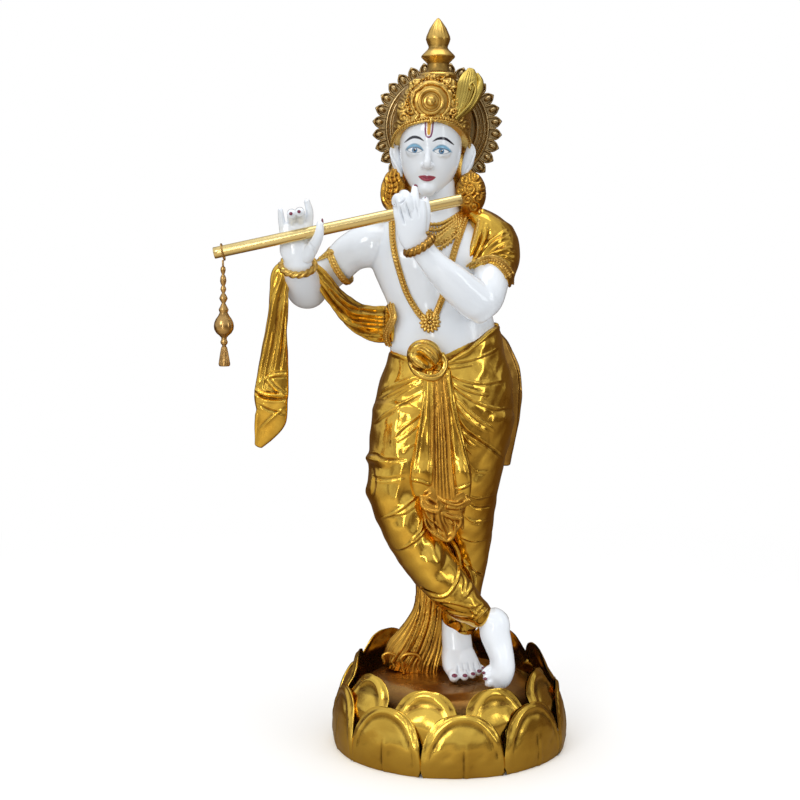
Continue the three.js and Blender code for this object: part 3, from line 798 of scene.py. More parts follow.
def make_feet():
    """The left foot stands flat; the right crosses in front of it and rests on its toes."""
    left_toes = [
        ([[5, -44, 162], [6, -64, 162], [8, -80, 158]], 13, 10.5),
        ([[23, -44, 163], [27, -64, 163], [30, -79, 159]], 10.5, 8.5),
        ([[38, -36, 163], [43, -54, 163], [47, -67, 159]], 10, 8),
        ([[50, -24, 162], [56, -38, 162], [60, -50, 160]], 9.5, 7.5),
        ([[58, -8, 162], [65, -22, 162], [70, -33, 161]], 9.5, 7.5),
    ]
    right_toes = [
        ([[98, -104, 172], [86, -112, 164], [75, -114, 157]], 12, 9.5),
        ([[98, -100, 182], [82, -110, 176], [70, -113, 168]], 10, 7.5),
        ([[98, -94, 190], [80, -104, 186], [68, -108, 179]], 9.5, 7),
    ]
    forms = [limb(LEFT_FOOT, UP, square=0.9), limb(LEFT_ANKLE), limb(RIGHT_FOOT, around=40)]
    forms += [rod(line, root, end=tip, around=16) for line, root, tip in left_toes + right_toes]
    forms += [ball((97, -77, 281), (25, 26, 23))]
    feet = clay("feet", forms, 1.7, 6)
    carve(feet, [([[14 + 11 * k, 192 + 2 * k], [14 + 12.5 * k, 170 + 3 * k]], 2.0, 2.2, "cut")
                 for k in range(5)])
    flatten_soles(feet)
    on_figure(feet, SKIN, reach=6, depth=1.6, share=0.36)


def flatten_soles(feet):
    corners = corners_of(feet)
    corners[:, 2] = np.maximum(corners[:, 2], GROUND_TOP)
    move_to(feet, corners)


NAILS = [
    # place, radii, the way the nail faces
    ((-304, -158.5, 1125), (3.6, 2, 3.4), (0, -1, 0.1)), ((-320, -157.5, 1121), (3.6, 2, 3.4), (0, -1, 0.1)),
    ((-258, -161, 1106), (2.4, 2.0, 6), (1, -0.7, 0.2)),
    ((-117, -168, 1142), (3.4, 2.2, 5), (-0.6, -0.8, -0.1)),
    ((-75, -160, 1174), (4.6, 2.4, 5.2), (0.5, -0.7, 0.5)),
    ((-56, -155, 1149), (3.8, 2.4, 4.6), (0.4, -0.9, 0.3)),
    ((8, -86, 166), (6.2, 5, 2.4), (0, -0.6, 0.9)), ((30, -84, 165.5), (5.4, 4.6, 2.3), (0, -0.6, 0.9)),
    ((47.5, -72, 165.5), (5, 4.2, 2.3), (0.1, -0.6, 0.9)),
    ((61, -55, 166), (4.6, 4.2, 2.2), (0.15, -0.6, 0.9)),
    ((71, -38, 167), (4.2, 3.8, 2.2), (0.2, -0.6, 0.9)),
    ((70, -120, 170), (4.6, 2.4, 3.0), (-0.5, -0.7, 0.5)),
    ((67, -114, 181), (4.2, 2.2, 2.8), (-0.6, -0.7, 0.5)),
]


def make_nails():
    forms = []
    for place, radii, faces in NAILS:
        nail = ball((0, 0, 0), radii)
        flat = FRONT if radii[1] < radii[2] else UP  # a finger's nail stands, a toe's lies
        tilt = Vector(flat).rotation_difference(Vector(faces))
        bmesh.ops.transform(nail, matrix=Matrix.Translation(place) @ tilt.to_matrix().to_4x4(),
                            verts=nail.verts)
        forms.append(nail)
    on_figure(cast("nails", forms), NAIL, reach=1)


# The head, in its own frame: across to the viewer's right, forward, and up, from the middle of the skull

def head_axes():
    yaw, roll = math.radians(HEAD_YAW), math.radians(HEAD_ROLL)
    forward = np.array([-math.sin(yaw), -math.cos(yaw), 0])
    across = np.array([math.cos(yaw), -math.sin(yaw), 0])
    up = np.cos(roll) * np.array(UP) + np.sin(roll) * across
    return np.array([np.cross(forward, up), forward, up])


HEAD_AXES = head_axes()


def in_head(across, forward, up):
    """A point of the head's own frame as a place."""
    return HEAD_MIDDLE + np.array([across, forward, up]) @ HEAD_AXES


def head_keys(keys):
    """Keys given in the head's frame, as a limb takes them."""
    return [[*in_head(a, f, u), *sizes] for a, f, u, *sizes in keys]


SKULL = [[0, 44, -86, 17, 17], [0, 32, -70, 38, 43], [0, 17, -46, 54, 60], [0, 7, -18, 62, 73],
         [0, 2, 12, 64, 80], [0, 0, 42, 63, 80], [0, -2, 72, 55, 68], [0, -2, 92, 34, 44]]
NOSE = [[0, 70, 10, 5, 8], [0, 73, -6, 4.5, 8], [0, 76, -20, 5.5, 10], [0, 79, -34, 7.5, 11],
        [0, 77, -41, 7, 8]]
# A lip's key is [across, how deep its middle is sunk, up, half-width, half-depth]
UPPER_LIP = [[-16, 3.2, -60.2, 1.8, 3], [-8, 2.6, -59, 2.8, 5], [0, 2.6, -59.6, 2.6, 5.4],
             [8, 2.6, -59, 2.8, 5], [16, 3.2, -60.2, 1.8, 3]]
LOWER_LIP = [[-13, 3.2, -63, 1.8, 3], [-7, 2.6, -65, 3.4, 5], [0, 2.2, -65.8, 4, 6], [7, 2.6, -65, 3.4, 5],
             [13, 3.2, -63, 1.8, 3]]
FACE_SWELLS = [[-30, -30, 24, 22, 3.0], [30, -30, 24, 22, 3.0], [0, -84, 17, 12, 4.5], [-13, -4, 5, 9, -1.4],
               [13, -4, 5, 9, -1.4]]


def in_head_frame(corners):
    return (corners - HEAD_MIDDLE) @ HEAD_AXES.T


def lip(face, keys):
    """A lip laid on the face."""
    laid = []
    for across, sunk, up, wide, deep in keys:
        x, y, z = in_head(across, FACE_FRONT, up)
        spot, _ = face(x, z, y)
        laid.append([across, (spot - HEAD_MIDDLE) @ HEAD_AXES[1] - sunk, up, wide, deep])
    return limb(head_keys(laid), tuple(HEAD_AXES[1]), 14, 40)


def face_strokes():
    """The parting of the lips, the groove under the nose, and each eye's lids."""
    strokes = [([[-15, -59.5], [-8, -61.4], [0, -61.6], [8, -61.4], [15, -59.5]], 1.3, 1.5, "cut"),
               ([[0, -46], [0, -54]], 2.4, 0.7, "cut")]
    lids = (
        ([[12, 2], [20, 9], [32, 10], [44, 3]], 1.4, 1.0, "cut"),
        ([[11, -2], [19, 4], [30, 5], [43, -1]], 1.3, 1.2, "roll"),
        ([[14, -5], [26, -8], [40, -3]], 1.2, 0.5, "roll"),
    )
    for side in (-1, 1):
        for line, width, height, kind in lids:
            strokes.append(([[side * out, EYE_LINE + up] for out, up in line], width, height, kind))
    return strokes


def make_head():
    front = tuple(HEAD_AXES[1])
    forms = [limb(head_keys(SKULL), front, 64, 90), limb(head_keys(NOSE), front, 20, 40)]
    for side in (-1, 1):
        forms += [ball(in_head(side * 7, 72, -39), (5.5, 8, 5)),
                  ball(in_head(side * EYE_OUT, 56, EYE_LINE), (19, 18.5, 14))]
    head = clay("head_blank", forms, CLOTH_GRAIN, 16)
    face = touch_of(head)
    piece = clay("head", [form_of(head), lip(face, UPPER_LIP), lip(face, LOWER_LIP)], FACE_GRAIN, 5)
    features = dict(view=lambda corners: in_head_frame(corners)[:, [0, 2]],
                    facing=turned_to(HEAD_AXES[1], 0.3))
    carve(piece, face_strokes(), **features)
    swell(piece, FACE_SWELLS, **features)
    forward = (corners_of(piece) - HEAD_MIDDLE) @ HEAD_AXES[1]
    thin(piece, 0.5, np.flatnonzero(forward < HEAD_HIDDEN).tolist())
    paint_face(piece)
    on_figure(piece, FACE, reach=6, depth=2.6)


def inside_path(points, line, width, taper=0.75):
    """How far points lie inside a tapered brush stroke."""
    distance, _, share = along_path(points, curve(line, 24))
    return width * (1 - taper * np.abs(2 * share - 1) ** 2) - distance


def inside_almond(points, middle, half_width, rise, drop):
    """How far points lie inside an eye shape, its upper and lower edges two arcs."""
    x = (points[:, 0] - middle[0]) / half_width
    z = points[:, 1] - middle[1]
    arch = np.clip(1 - np.abs(x) ** 2.2, -1, 1)
    return np.minimum(rise * arch - z, drop * arch + z)


def inside_ring(points, middle, radius):
    return radius - np.hypot(points[:, 0] - middle[0], points[:, 1] - middle[1])


BROW = ((9, 18), (20, 24), (34, 24.5), (50, 15))
MARK_EDGE = [[-7.4, 60], [-7.2, 34], [-5, 21], [0, 17.5], [5, 21], [7.2, 34], [7.4, 60]]
MARK_STEM = [[0, 60.0], [0, 25.5]]


def paint_eye(seen, side):
    """One eye's layers, each as the distance inside its own edge."""
    middle = (side * EYE_OUT, EYE_LINE - 0.2)
    white = inside_almond(seen, (side * EYE_OUT, EYE_LINE - 0.8), 15, 4.9, 4.7)
    return {
        "brow": inside_path(seen, [[side * out, EYE_LINE + up] for out, up in BROW], 2.8),
        "shadow": inside_almond(seen, (side * 28, EYE_LINE), 19.5, 12.5, 3.5),
        "liner": inside_almond(seen, (side * EYE_OUT, EYE_LINE), 17.4, 6.6, 6.4),
        "white": white,
        "iris": np.minimum(inside_ring(seen, middle, 5.6), white + 0.3),
        "pupil": np.minimum(inside_ring(seen, middle, 2.6), white),
        # The glint is a painted highlight, up and to the viewer's left in both eyes
        "glint": inside_ring(seen, (side * EYE_OUT - 1.8, EYE_LINE + 1.6), 1.2),
    }


def paint_lips(seen):
    """How far points lie inside the lips' bowed outline."""
    x, z = seen.T
    rise = 0.006 * x ** 2
    share = np.clip(1 - (x / 17.5) ** 2, 0, 1)
    top = -61.4 + 4.8 * share ** 0.7 - 1.4 * bump(x, 2.5) + rise
    low = -61.6 - 7.4 * share ** 0.75 + rise
    return np.minimum(np.minimum(top - z, z - low), 18 - np.abs(x))


def paint_face(head):
    """The painted brows, eyes, lips and forehead mark, kept at the corners."""
    local = in_head_frame(corners_of(head))
    seen = local[:, [0, 2]]
    stem, _, _ = along_path(seen, np.array(MARK_STEM))
    layers = {"lips": paint_lips(seen), "mark_edge": inside_path(seen, MARK_EDGE, 1.6, 0),
              "mark_white": 6.6 - stem, "mark_middle": 3.6 - stem}
    for side in (-1, 1):
        for name, values in paint_eye(seen, side).items():
            layers[name] = np.maximum(layers.get(name, UNPAINTED), values)
    for name, values in layers.items():
        keep(head, name, np.where(local[:, 1] < FACE_BACK, UNPAINTED, np.maximum(values, UNPAINTED)))


# The face's paints; the glint among them is a painted highlight
FACE = enamel("painted face", [
    ("shadow", (0.16, 0.38, 0.56), 1.8), ("liner", (0.10, 0.16, 0.24), 0.5),
                               ("white", (0.80, 0.83, 0.86), 0.5),
    ("iris", (0.05, 0.16, 0.30), 0.5), ("pupil", (0.005, 0.006, 0.01), 0.5), ("glint", (0.9, 0.9, 0.9), 0.4),
    ("brow", (0.02, 0.02, 0.035), 0.6), ("lips", (0.32, 0.03, 0.06), 0.6),
                               ("mark_white", (0.85, 0.86, 0.88), 0.4),
    ("mark_middle", (0.80, 0.42, 0.05), 0.5), ("mark_edge", (0.20, 0.035, 0.13), 0.4),
])


def make_ears():
    """Long leaf-shaped ears with a rolled rim."""
    forms = []
    for keys, rim in (
        ([[-104, -8, 1200, 4, 6], [-109, -6, 1216, 9, 8], [-114, -3, 1236, 11, 9], [-116, 1, 1254, 9, 9],
          [-114, 4, 1268, 4, 6]],
         [[-103, -13, 1202], [-111, -15, 1218], [-122, -11, 1238], [-125, -6, 1252], [-119, -2, 1266],
          [-109, -5, 1262]]),
        ([[26, -8, 1198, 5, 6], [30, -6, 1214, 10, 8], [36, -3, 1236, 12, 9], [38, 0, 1254, 9, 9],
          [37, 4, 1268, 4, 6]],
         [[25, -13, 1200], [36, -15, 1216], [45, -11, 1238], [48, -6, 1250], [42, -2, 1265], [32, -4, 1260]]),
    ):
        forms += [limb(keys, around=24, along=40), rod(rim, 3.2, end=2.6)]
    on_figure(clay("ears", forms, FINE_GRAIN, 3), SKIN, reach=6, share=0.6)


# The crown and what stands on it

def spiral(x, z, radius, turns, start, sense=1, count=14):
    """A curling line of [x, z] points that winds in to its middle."""
    line = []
    for i in range(count):
        reach = radius * (1 - CURL_WIND * i / (count - 1))
        angle = math.radians(start) + sense * TURN * turns * i / (count - 1)
        line.append([x + reach * math.cos(angle), z + reach * math.sin(angle)])
    return line


# The curls round the medallion: x, z, radius, the angle at which each starts, and the way it winds
CROWN_CURLS = (
    (-100, 1312, 13, 200, 1), (-104, 1338, 11, 120, -1), (-90, 1360, 12, 200, 1), (-73, 1381, 12, 240, 1),
    (-54, 1396, 10, 190, -1), (-32, 1397, 10, 350, 1), (-12, 1383, 13, 300, -1), (2, 1362, 11, 20, 1),
    (8, 1338, 11, 60, 1), (10, 1314, 12, 340, -1), (-84, 1326, 8, 90, 1), (-2, 1322, 7, 90, -1),
    (-112, 1296, 8, 30, 1), (26, 1296, 8, 150, -1), (-90, 1384, 8, 60, 1), (14, 1382, 8, 120, -1),
)
BACK_ROWS = ((1306, 6), (1334, 6), (1360, 5), (1384, 3))  # the height and number of the scrolls behind
CROWN_BOSSES = (((-43, -76, 1344), (46, 20, 44)), ((-92, -58, 1326), (22, 18, 22)),
                ((10, -60, 1326), (20, 18, 24)), ((-72, -58, 1376), (18, 16, 16)),
                ((-8, -58, 1378), (18, 16, 16)), ((-41, -52, 1392), (16, 16, 12)))


def round_medallion(angle, across, up):
    return [MEDALLION[0] + across * math.cos(angle), MEDALLION[1] + up * math.sin(angle)]


def make_crown():
    dome = limb([[-42, -26, 1272, 78, 80], [-41, -15, 1294, 80, 85], [-38, -9, 1322, 79, 85],
                 [-36, -7, 1350, 74, 80],
                 [-32, -6, 1380, 56, 60], [-28, -6, 1402, 32, 34]], around=64, along=60, cap=0.05)
    crown = clay("crown", [dome] + [ball(middle, radii) for middle, radii in CROWN_BOSSES], 1.7, 3)
    curls = [(spiral(x, z, radius, 1.35, start, sense), 2.1, 3.4, "fold")
             for x, z, radius, start, sense in CROWN_CURLS]
    for angle in range(-20, 205, 15):
        ray = [round_medallion(math.radians(angle), *MEDALLION_REACH),
               round_medallion(math.radians(angle + 6), *RAY_END)]
        curls.append((ray, 2, 1.8, "roll"))
    carve(crown, curls)
    carve(crown, back_curls(), **REAR)
    return crown


def back_curls():
    """The plainer scrolls on the crown's hidden side."""
    curls = []
    for row, (z, count) in enumerate(BACK_ROWS):
        for i in range(count):
            x = -37 + (i - (count - 1) / 2) * 25
            curls.append((spiral(x, z, 9, 1.2, 90 * i + 40 * row, 1 if i % 2 else -1), 2.1, 2.6, "fold"))
    return curls


def make_crown_jewels(crown):
    """The medallion with its flaring ring, the strings of beads beside it and a drop over the brow."""
    touch = touch_of(crown)
    middle, _ = touch(*MEDALLION)
    tilt = Vector((0.02, -1, 0.05))
    ring = [round_medallion(math.radians(angle), 36, 35) for angle in range(-52, 233, 20)]
    flare = [[-14, 1309]] + ring + [[-74, 1309]]
    medal = turned([[0, -6], [25, -6], [27, 0], [26, 4], [23, 5.5], [20, 4], [18.5, 1.5], [15.5, 1.5],
                    [14, 4.5],
                    [11.5, 5], [9.5, 6], [8.5, 10], [5.5, 12.5], [0, 14]], tuple(middle), 64, 0.6, tilt)
    forms = [medal, rod(laid_on(touch, flare, 2.5, 5), 3.4)]
    for line, radius, lift in (
        ([[-86, 1312], [-92, 1340], [-84, 1366], [-64, 1384]], 2.6, 2),
        ([[-2, 1308], [6, 1340], [-2, 1366], [-22, 1384]], 3.2, 3),
        ([[-64, 1384], [-43, 1390], [-22, 1384]], 2.6, 2),
    ):
        forms.append(beads(laid_on(touch, line, lift, 2 * radius), radius))
    forms.append(ball((-44, -104, 1306), (4.5, 4, 7)))
    on_figure(cast("crown_medallion", forms), ORNAMENT, reach=4, depth=1.2)


def make_band():
    """The worked edge of the crown, from ear to ear over the brow."""
    line = [[-120, 10, 1252], [-121, -16, 1266], [-110, -52, 1285], [-86, -82, 1299], [-44, -101, 1306],
            [-3, -90, 1302], [23, -58, 1286], [36, -20, 1267], [36, 10, 1252]]
    forms = [beads(evenly([[x + (x + 40) * 0.02, y - 1, z + 5] for x, y, z in line], 5.4), 3.2),
             twisted_cord(line, 3.0, pitch=8)]
    back = [[-120, 10, 1252], [-106, 44, 1248], [-68, 66, 1238], [-40, 70, 1236], [-12, 66, 1238],
            [24, 44, 1248], [36, 10, 1252]]
    forms.append(twisted_cord(back, 4, pitch=10))
    on_figure(cast("crown_band", forms), ORNAMENT, reach=4, depth=1.2)


def make_feather():
    """A broad curling feather with a rib along its outer edge and fine barbs."""
    spine = [[7, -80, 1310, 5, 3], [14, -77, 1330, 14, 5], [23, -69, 1354, 20, 6], [31, -59, 1380, 22, 6],
             [36, -49, 1400, 16, 5], [38, -43, 1412, 8, 4]]
    barbs = lambda turn, share: 0.07 * np.cos(26 * np.cos(turn) + 9 * share) * np.sin(turn) ** 2
    blade = limb(spine, (0.25, -1, 0.35), 120, 90, fold=barbs)
    rib = rod([[6, -86, 1311], [20, -84, 1324], [34, -80, 1340], [43, -72, 1358], [46, -64, 1374],
               [40, -62, 1384],
               [34, -66, 1378], [36, -70, 1370]], 3.4, end=2.4, around=14)
    backing = limb([[14, -74, 1318, 6, 5], [34, -68, 1336, 9, 8], [50, -58, 1362, 10, 9],
                    [56, -48, 1386, 7, 8], [50, -42, 1402, 4, 6]], (0.2, -1, 0.2), 24, 50)
    on_figure(cast("feather", [blade, rib, backing]), FEATHER, reach=5, depth=1.0)


def make_finial():
    profile = [
        [0, 1394], [35, 1394], [38, 1398], [39, 1404], [36, 1408], [25, 1411], [22.5, 1419], [22, 1427],
        [25, 1431], [34, 1440], [35, 1442], [33, 1445], [22, 1456], [19.5, 1460], [20, 1463], [23, 1470],
        [25.2, 1477], [24, 1483], [17, 1499], [8, 1512], [2.5, 1518.5], [0, 1519.5],
    ]
    finial = cast("finial", [turned(profile, (-28, -8, 0), 112, 1.0)])
    carve(finial, [([[-28 + 4.6 * k, 1484], [-28 + 3.6 * k, 1500], [-28 + 1.2 * k, 1517]], 1.3, 1.6, "cut")
                   for k in range(-4, 5)])
    on_figure(finial, ORNAMENT, reach=6)


def make_side_lock():
    """The ribbed lock on the viewer's left."""
    keys = [[-111, 0, 1210, 13, 15], [-117, 0, 1196, 21, 23], [-121, -2, 1173, 25, 27],
            [-121, -2, 1150, 23, 25], [-114, 0, 1131, 12, 14]]
    lock = clay("side_lock", [limb(keys, around=40, along=50)], FINE_GRAIN, 2)
    carve(lock, [([[-104 - 7.5 * k, 1218 - 3 * abs(k - 1.5)], [-108 - 9 * k, 1196], [-100 - 10.5 * k, 1176],
                   [-107 - 9 * k, 1154], [-104 - 6 * k, 1134]], 2.0, 2.8, "fold") for k in range(5)])
    carve(lock, [([[-138, 1200 - 11 * k], [-122, 1194 - 11 * k], [-106, 1202 - 11 * k]], 1.6, 1.6, "cut")
                 for k in range(6)])
    on_figure(lock, STREAKED, reach=5, depth=1.4, share=0.7)


def make_side_knot():
    """The knot of curls on the viewer's right."""
    keys = [[34, 2, 1202, 16, 18], [38, -4, 1188, 28, 28], [40, -6, 1166, 32, 33], [39, -4, 1144, 28, 28],
            [35, 0, 1127, 13, 14]]
    knot = clay("side_knot", [limb(keys, around=40, along=50)], FINE_GRAIN, 2)
    curls = ((24, 1190, 10), (46, 1196, 10), (58, 1176, 10), (34, 1172, 12), (52, 1154, 11), (30, 1150, 11),
             (16, 1168, 9), (42, 1136, 9), (64, 1158, 7), (40, 1208, 8))
    carve(knot, [(spiral(x, z, radius, 1.3, 70 * i, 1 if i % 2 else -1), 2.0, 3.2, "fold")
                 for i, (x, z, radius) in enumerate(curls)])
    on_figure(knot, STREAKED, reach=5, depth=1.4, share=0.7)


def make_back_hair():
    """The waved hair down the back."""
    keys = [[-37, 40, 1300, 62, 36], [-37, 48, 1240, 76, 34], [-36, 54, 1170, 80, 28],
            [-34, 60, 1110, 62, 22], [-32, 64, 1074, 28, 13]]
    back = clay("back_hair", [limb(keys, around=72, along=70)], CLOTH_GRAIN, 2)
    strands = []
    for k in range(-6, 7):
        x = -36 + 11 * k
        strands.append(([[x, 1290], [x + 5, 1250], [x - 4, 1200], [x + 4 - k, 1150], [x - 3 * k, 1110],
                         [-33 + 3.6 * k, 1078]], 3.2, 3.2, "fold"))
    carve(back, strands, **REAR)
    on_figure(back, ORNAMENT, reach=6, depth=1.8, share=0.3)


# The waist cloth

HIPS = [[-19, 4, 902, 113, 75], [-15, 6, 876, 114, 78], [-9, 6, 850, 119, 83], [-8, 6, 826, 124, 87],
        [-8, 7, 772, 140, 100], [-15, 6, 704, 147, 106], [-23, 2, 650, 145, 100], [-26, 0, 612, 130, 92]]
RIGHT_LEG = [
    [-76, -4, 700, 88, 93], [-94, -22, 600, 79, 88], [-103, -34, 545, 70, 80], [-93, -46, 494, 60, 72],
    [-73, -56, 446, 53, 64], [-44, -64, 400, 51, 57], [-7, -72, 354, 46, 50], [28, -78, 320, 39, 43],
    [50, -81, 302, 32, 35], [61, -82, 292, 28, 31],
]
LEFT_LEG = [[54, 8, 700, 84, 88], [42, 6, 600, 71, 79], [36, 6, 540, 64, 71], [36, 10, 480, 59, 64],
            [36, 17, 405, 50, 53], [34, 20, 345, 39, 44], [26, 22, 300, 38, 40], [20, 21, 268, 38, 39],
            [30, 18, 241, 33, 31]]
# The cloth's top edge, as x and the height there
RIM_FRONT = [[-140, 856], [-127, 849], [-90, 834], [-50, 828], [-8, 827], [32, 849], [71, 883], [95, 900]]
RIM_BACK = [[-140, 856], [-80, 862], [0, 880], [95, 900]]

THIGH_FOLDS = [
    # viewer's left, fanning out from the knot
    ([[-147, 757], [-136, 768], [-96, 785], [-63, 797]], 2.6, 3.2, "lap"),
    ([[-140, 750], [-126, 758], [-92, 775], [-64, 790]], 2.2, 2.6, "fold"),
    ([[-123, 746], [-100, 764], [-66, 783]], 2.0, 2.0, "lap"),
    ([[-156, 700], [-131, 720], [-92, 744], [-62, 761]], 2.6, 3.4, "lap"),
    ([[-117, 669], [-104, 685], [-80, 704], [-64, 717]], 2.6, 3.2, "lap"),
    ([[-113, 660], [-92, 674], [-70, 694]], 2.2, 2.4, "lap"),
    ([[-98, 637], [-88, 649], [-73, 658]], 2.2, 2.0, "lap"),
    ([[-184, 624], [-160, 623], [-130, 616]], 7, 6.5, "roll"),
    ([[-178, 634], [-155, 634], [-139, 625], [-96, 622]], 2.4, 3.0, "cut"),
    ([[-172, 590], [-139, 583], [-96, 588]], 3.0, 2.0, "cut"),
    ([[-104, 742], [-114, 700], [-118, 650], [-112, 620]], 9, 3.4, "roll"),
    # viewer's right, fanning across the left thigh
    ([[-8, 822], [37, 828], [76, 842], [96, 856]], 2.2, 2.4, "lap"),
    ([[-6, 811], [21, 815], [40, 818]], 1.9, 1.6, "fold"),
    ([[-12, 803], [21, 787], [64, 780], [100, 786]], 2.6, 3.4, "lap"),
    ([[-10, 791], [22, 771], [53, 760], [72, 756]], 2.0, 2.0, "fold"),
    ([[-8, 784], [26, 757], [53, 741], [92, 728], [118, 732]], 2.6, 3.4, "lap"),
    ([[-2, 767], [26, 732], [53, 708], [85, 685]], 2.2, 2.4, "fold"),
    ([[0, 750], [22, 720], [45, 697], [73, 681]], 2.4, 3.0, "lap"),
    ([[6, 716], [26, 686], [53, 665], [77, 649], [112, 622]], 2.4, 3.6, "cut"),
    ([[6, 706], [22, 678], [36, 658], [54, 647]], 2.6, 3.4, "lap"),
    ([[10, 685], [26, 653], [46, 629]], 2.0, 2.2, "lap"),
    ([[22, 637], [38, 613], [54, 598], [80, 600]], 2.4, 2.2, "lap"),
]
KNEE_FOLDS = [
    ([[-128, 508], [-107, 519], [-80, 541], [-62, 560]], 2.8, 3.6, "lap"),
    ([[-152, 500], [-119, 509], [-96, 513], [-66, 535]], 2.4, 2.6, "lap"),
    ([[-164, 612], [-158, 578], [-164, 548]], 3.0, 2.4, "cut"),
    ([[-104, 600], [-108, 560], [-120, 528]], 7, 2.4, "roll"),
    ([[-124, 440], [-104, 438], [-72, 457], [-52, 485], [-46, 520]], 2.8, 3.8, "lap"),
    ([[-88, 449], [-64, 477], [-56, 512]], 2.0, 2.0, "fold"),
    ([[-40, 516], [-28, 475], [-1, 453], [15, 421], [14, 376], [-12, 339], [-52, 344], [-80, 364],
      [-104, 398]], 2.4, 3.0, "fold"),
    ([[23, 415], [40, 382], [42, 358], [30, 338]], 3.2, 3.6, "fold"),
    ([[17, 400], [28, 372], [24, 346]], 2.4, 2.4, "cut"),
    ([[-76, 358], [-40, 333], [8, 323], [44, 315], [66, 326]], 2.6, 3.0, "lap"),
    ([[-64, 345], [-28, 312], [16, 299], [52, 293]], 2.2, 2.2, "fold"),
    ([[36, 318], [44, 306], [58, 296]], 2.4, 2.6, "fold"),
]
SHIN_FOLDS = [
    ([[30, 551], [54, 543], [90, 553]], 2.2, 2.6, "lap"),
    ([[30, 536], [54, 523], [84, 528]], 2.2, 2.2, "cut"),
    ([[25, 508], [47, 494], [84, 501]], 2.2, 2.4, "lap"),
    ([[20, 462], [47, 453], [84, 462]], 1.8, 1.8, "lap"),
    ([[24, 408], [43, 393], [70, 378]], 2.0, 2.6, "cut"),
    ([[78, 318], [62, 300], [45, 280]], 1.8, 2.4, "roll"),
    ([[71, 325], [55, 306], [38, 287]], 1.6, 2.0, "roll"),
]
# Soft rises and dips of the cloth over the legs
CLOTH_SWELLS = [
    [-50, 468, 14, 24, -5], [-8, 408, 12, 26, -5], [-40, 412, 20, 18, 4], [-118, 690, 26, 60, 4],
    [62, 700, 34, 34, 3], [86, 790, 26, 30, -4], [60, 640, 26, 22, 3], [-100, 560, 22, 26, -3],
    [-96, 480, 24, 20, 3], [56, 572, 26, 16, 3], [54, 480, 24, 14, 2.5], [-30, 370, 26, 18, 3],
]


def below_rim(piece, sink=9):
    """The cloth above its top edge drops back under the skin, so that the edge stands proud."""
    corners, normals = corners_of(piece), normals_of(piece)
    seen = from_the_eye(corners)
    front = np.interp(seen[:, 0], *np.array(RIM_FRONT).T)
    back = np.interp(corners[:, 0], *np.array(RIM_BACK).T)
    share = ease(-30, 30, corners[:, 1])
    over = np.where(corners[:, 1] < 0, seen[:, 1], corners[:, 2]) - (front * (1 - share) + back * share)
    lift = 2.5 * bump(over + 5, 4) - sink * ease(-2, 3, over)
    move_to(piece, corners + normals * lift[:, None])


def plane_folds(count, centre, x_reach, top, drop, bow, width, height):
    """Curved folds across a hidden side, one below the other."""
    return [([[centre - x_reach, top - drop * k - bow], [centre, top - drop * k - 2 * bow],
              [centre + x_reach, top - drop * k]], width, height, "fold") for k in range(count)]


def make_waistcloth():
    wave = lambda count, slope, depth: (
        lambda turn, share: depth * np.cos(count * turn + slope * share * TURN))
    forms = [
        limb(HIPS, around=64, along=90, fold=wave(5, 0.6, 0.006)),
        limb(RIGHT_LEG, around=56, along=110, fold=wave(3, 2.2, 0.02)),
        limb(LEFT_LEG, around=56, along=110, fold=wave(3, -2, 0.02)),
    ]
    cloth = clay("waistcloth", forms, CLOTH_GRAIN, 4)
    below_rim(cloth)
    swell(cloth, CLOTH_SWELLS)
    swell(cloth, [[-172, 628, 14, 9, 7], [-170, 556, 14, 18, 6]],
          facing=turned_to((-1, 0, 0), 0.5))
    carve(cloth, THIGH_FOLDS + KNEE_FOLDS + SHIN_FOLDS)
    carve(cloth, plane_folds(5, -20, 110, 800, 44, 16, 5.5, 4.5)
          + plane_folds(4, -90, 60, 560, 42, 10, 4.5, 4)
          + plane_folds(5, 40, 46, 540, 44, -8, 4, 3.5), **REAR)
    on_figure(cloth, CLOTH, reach=12, depth=3.0, swells=1.2, share=0.32)


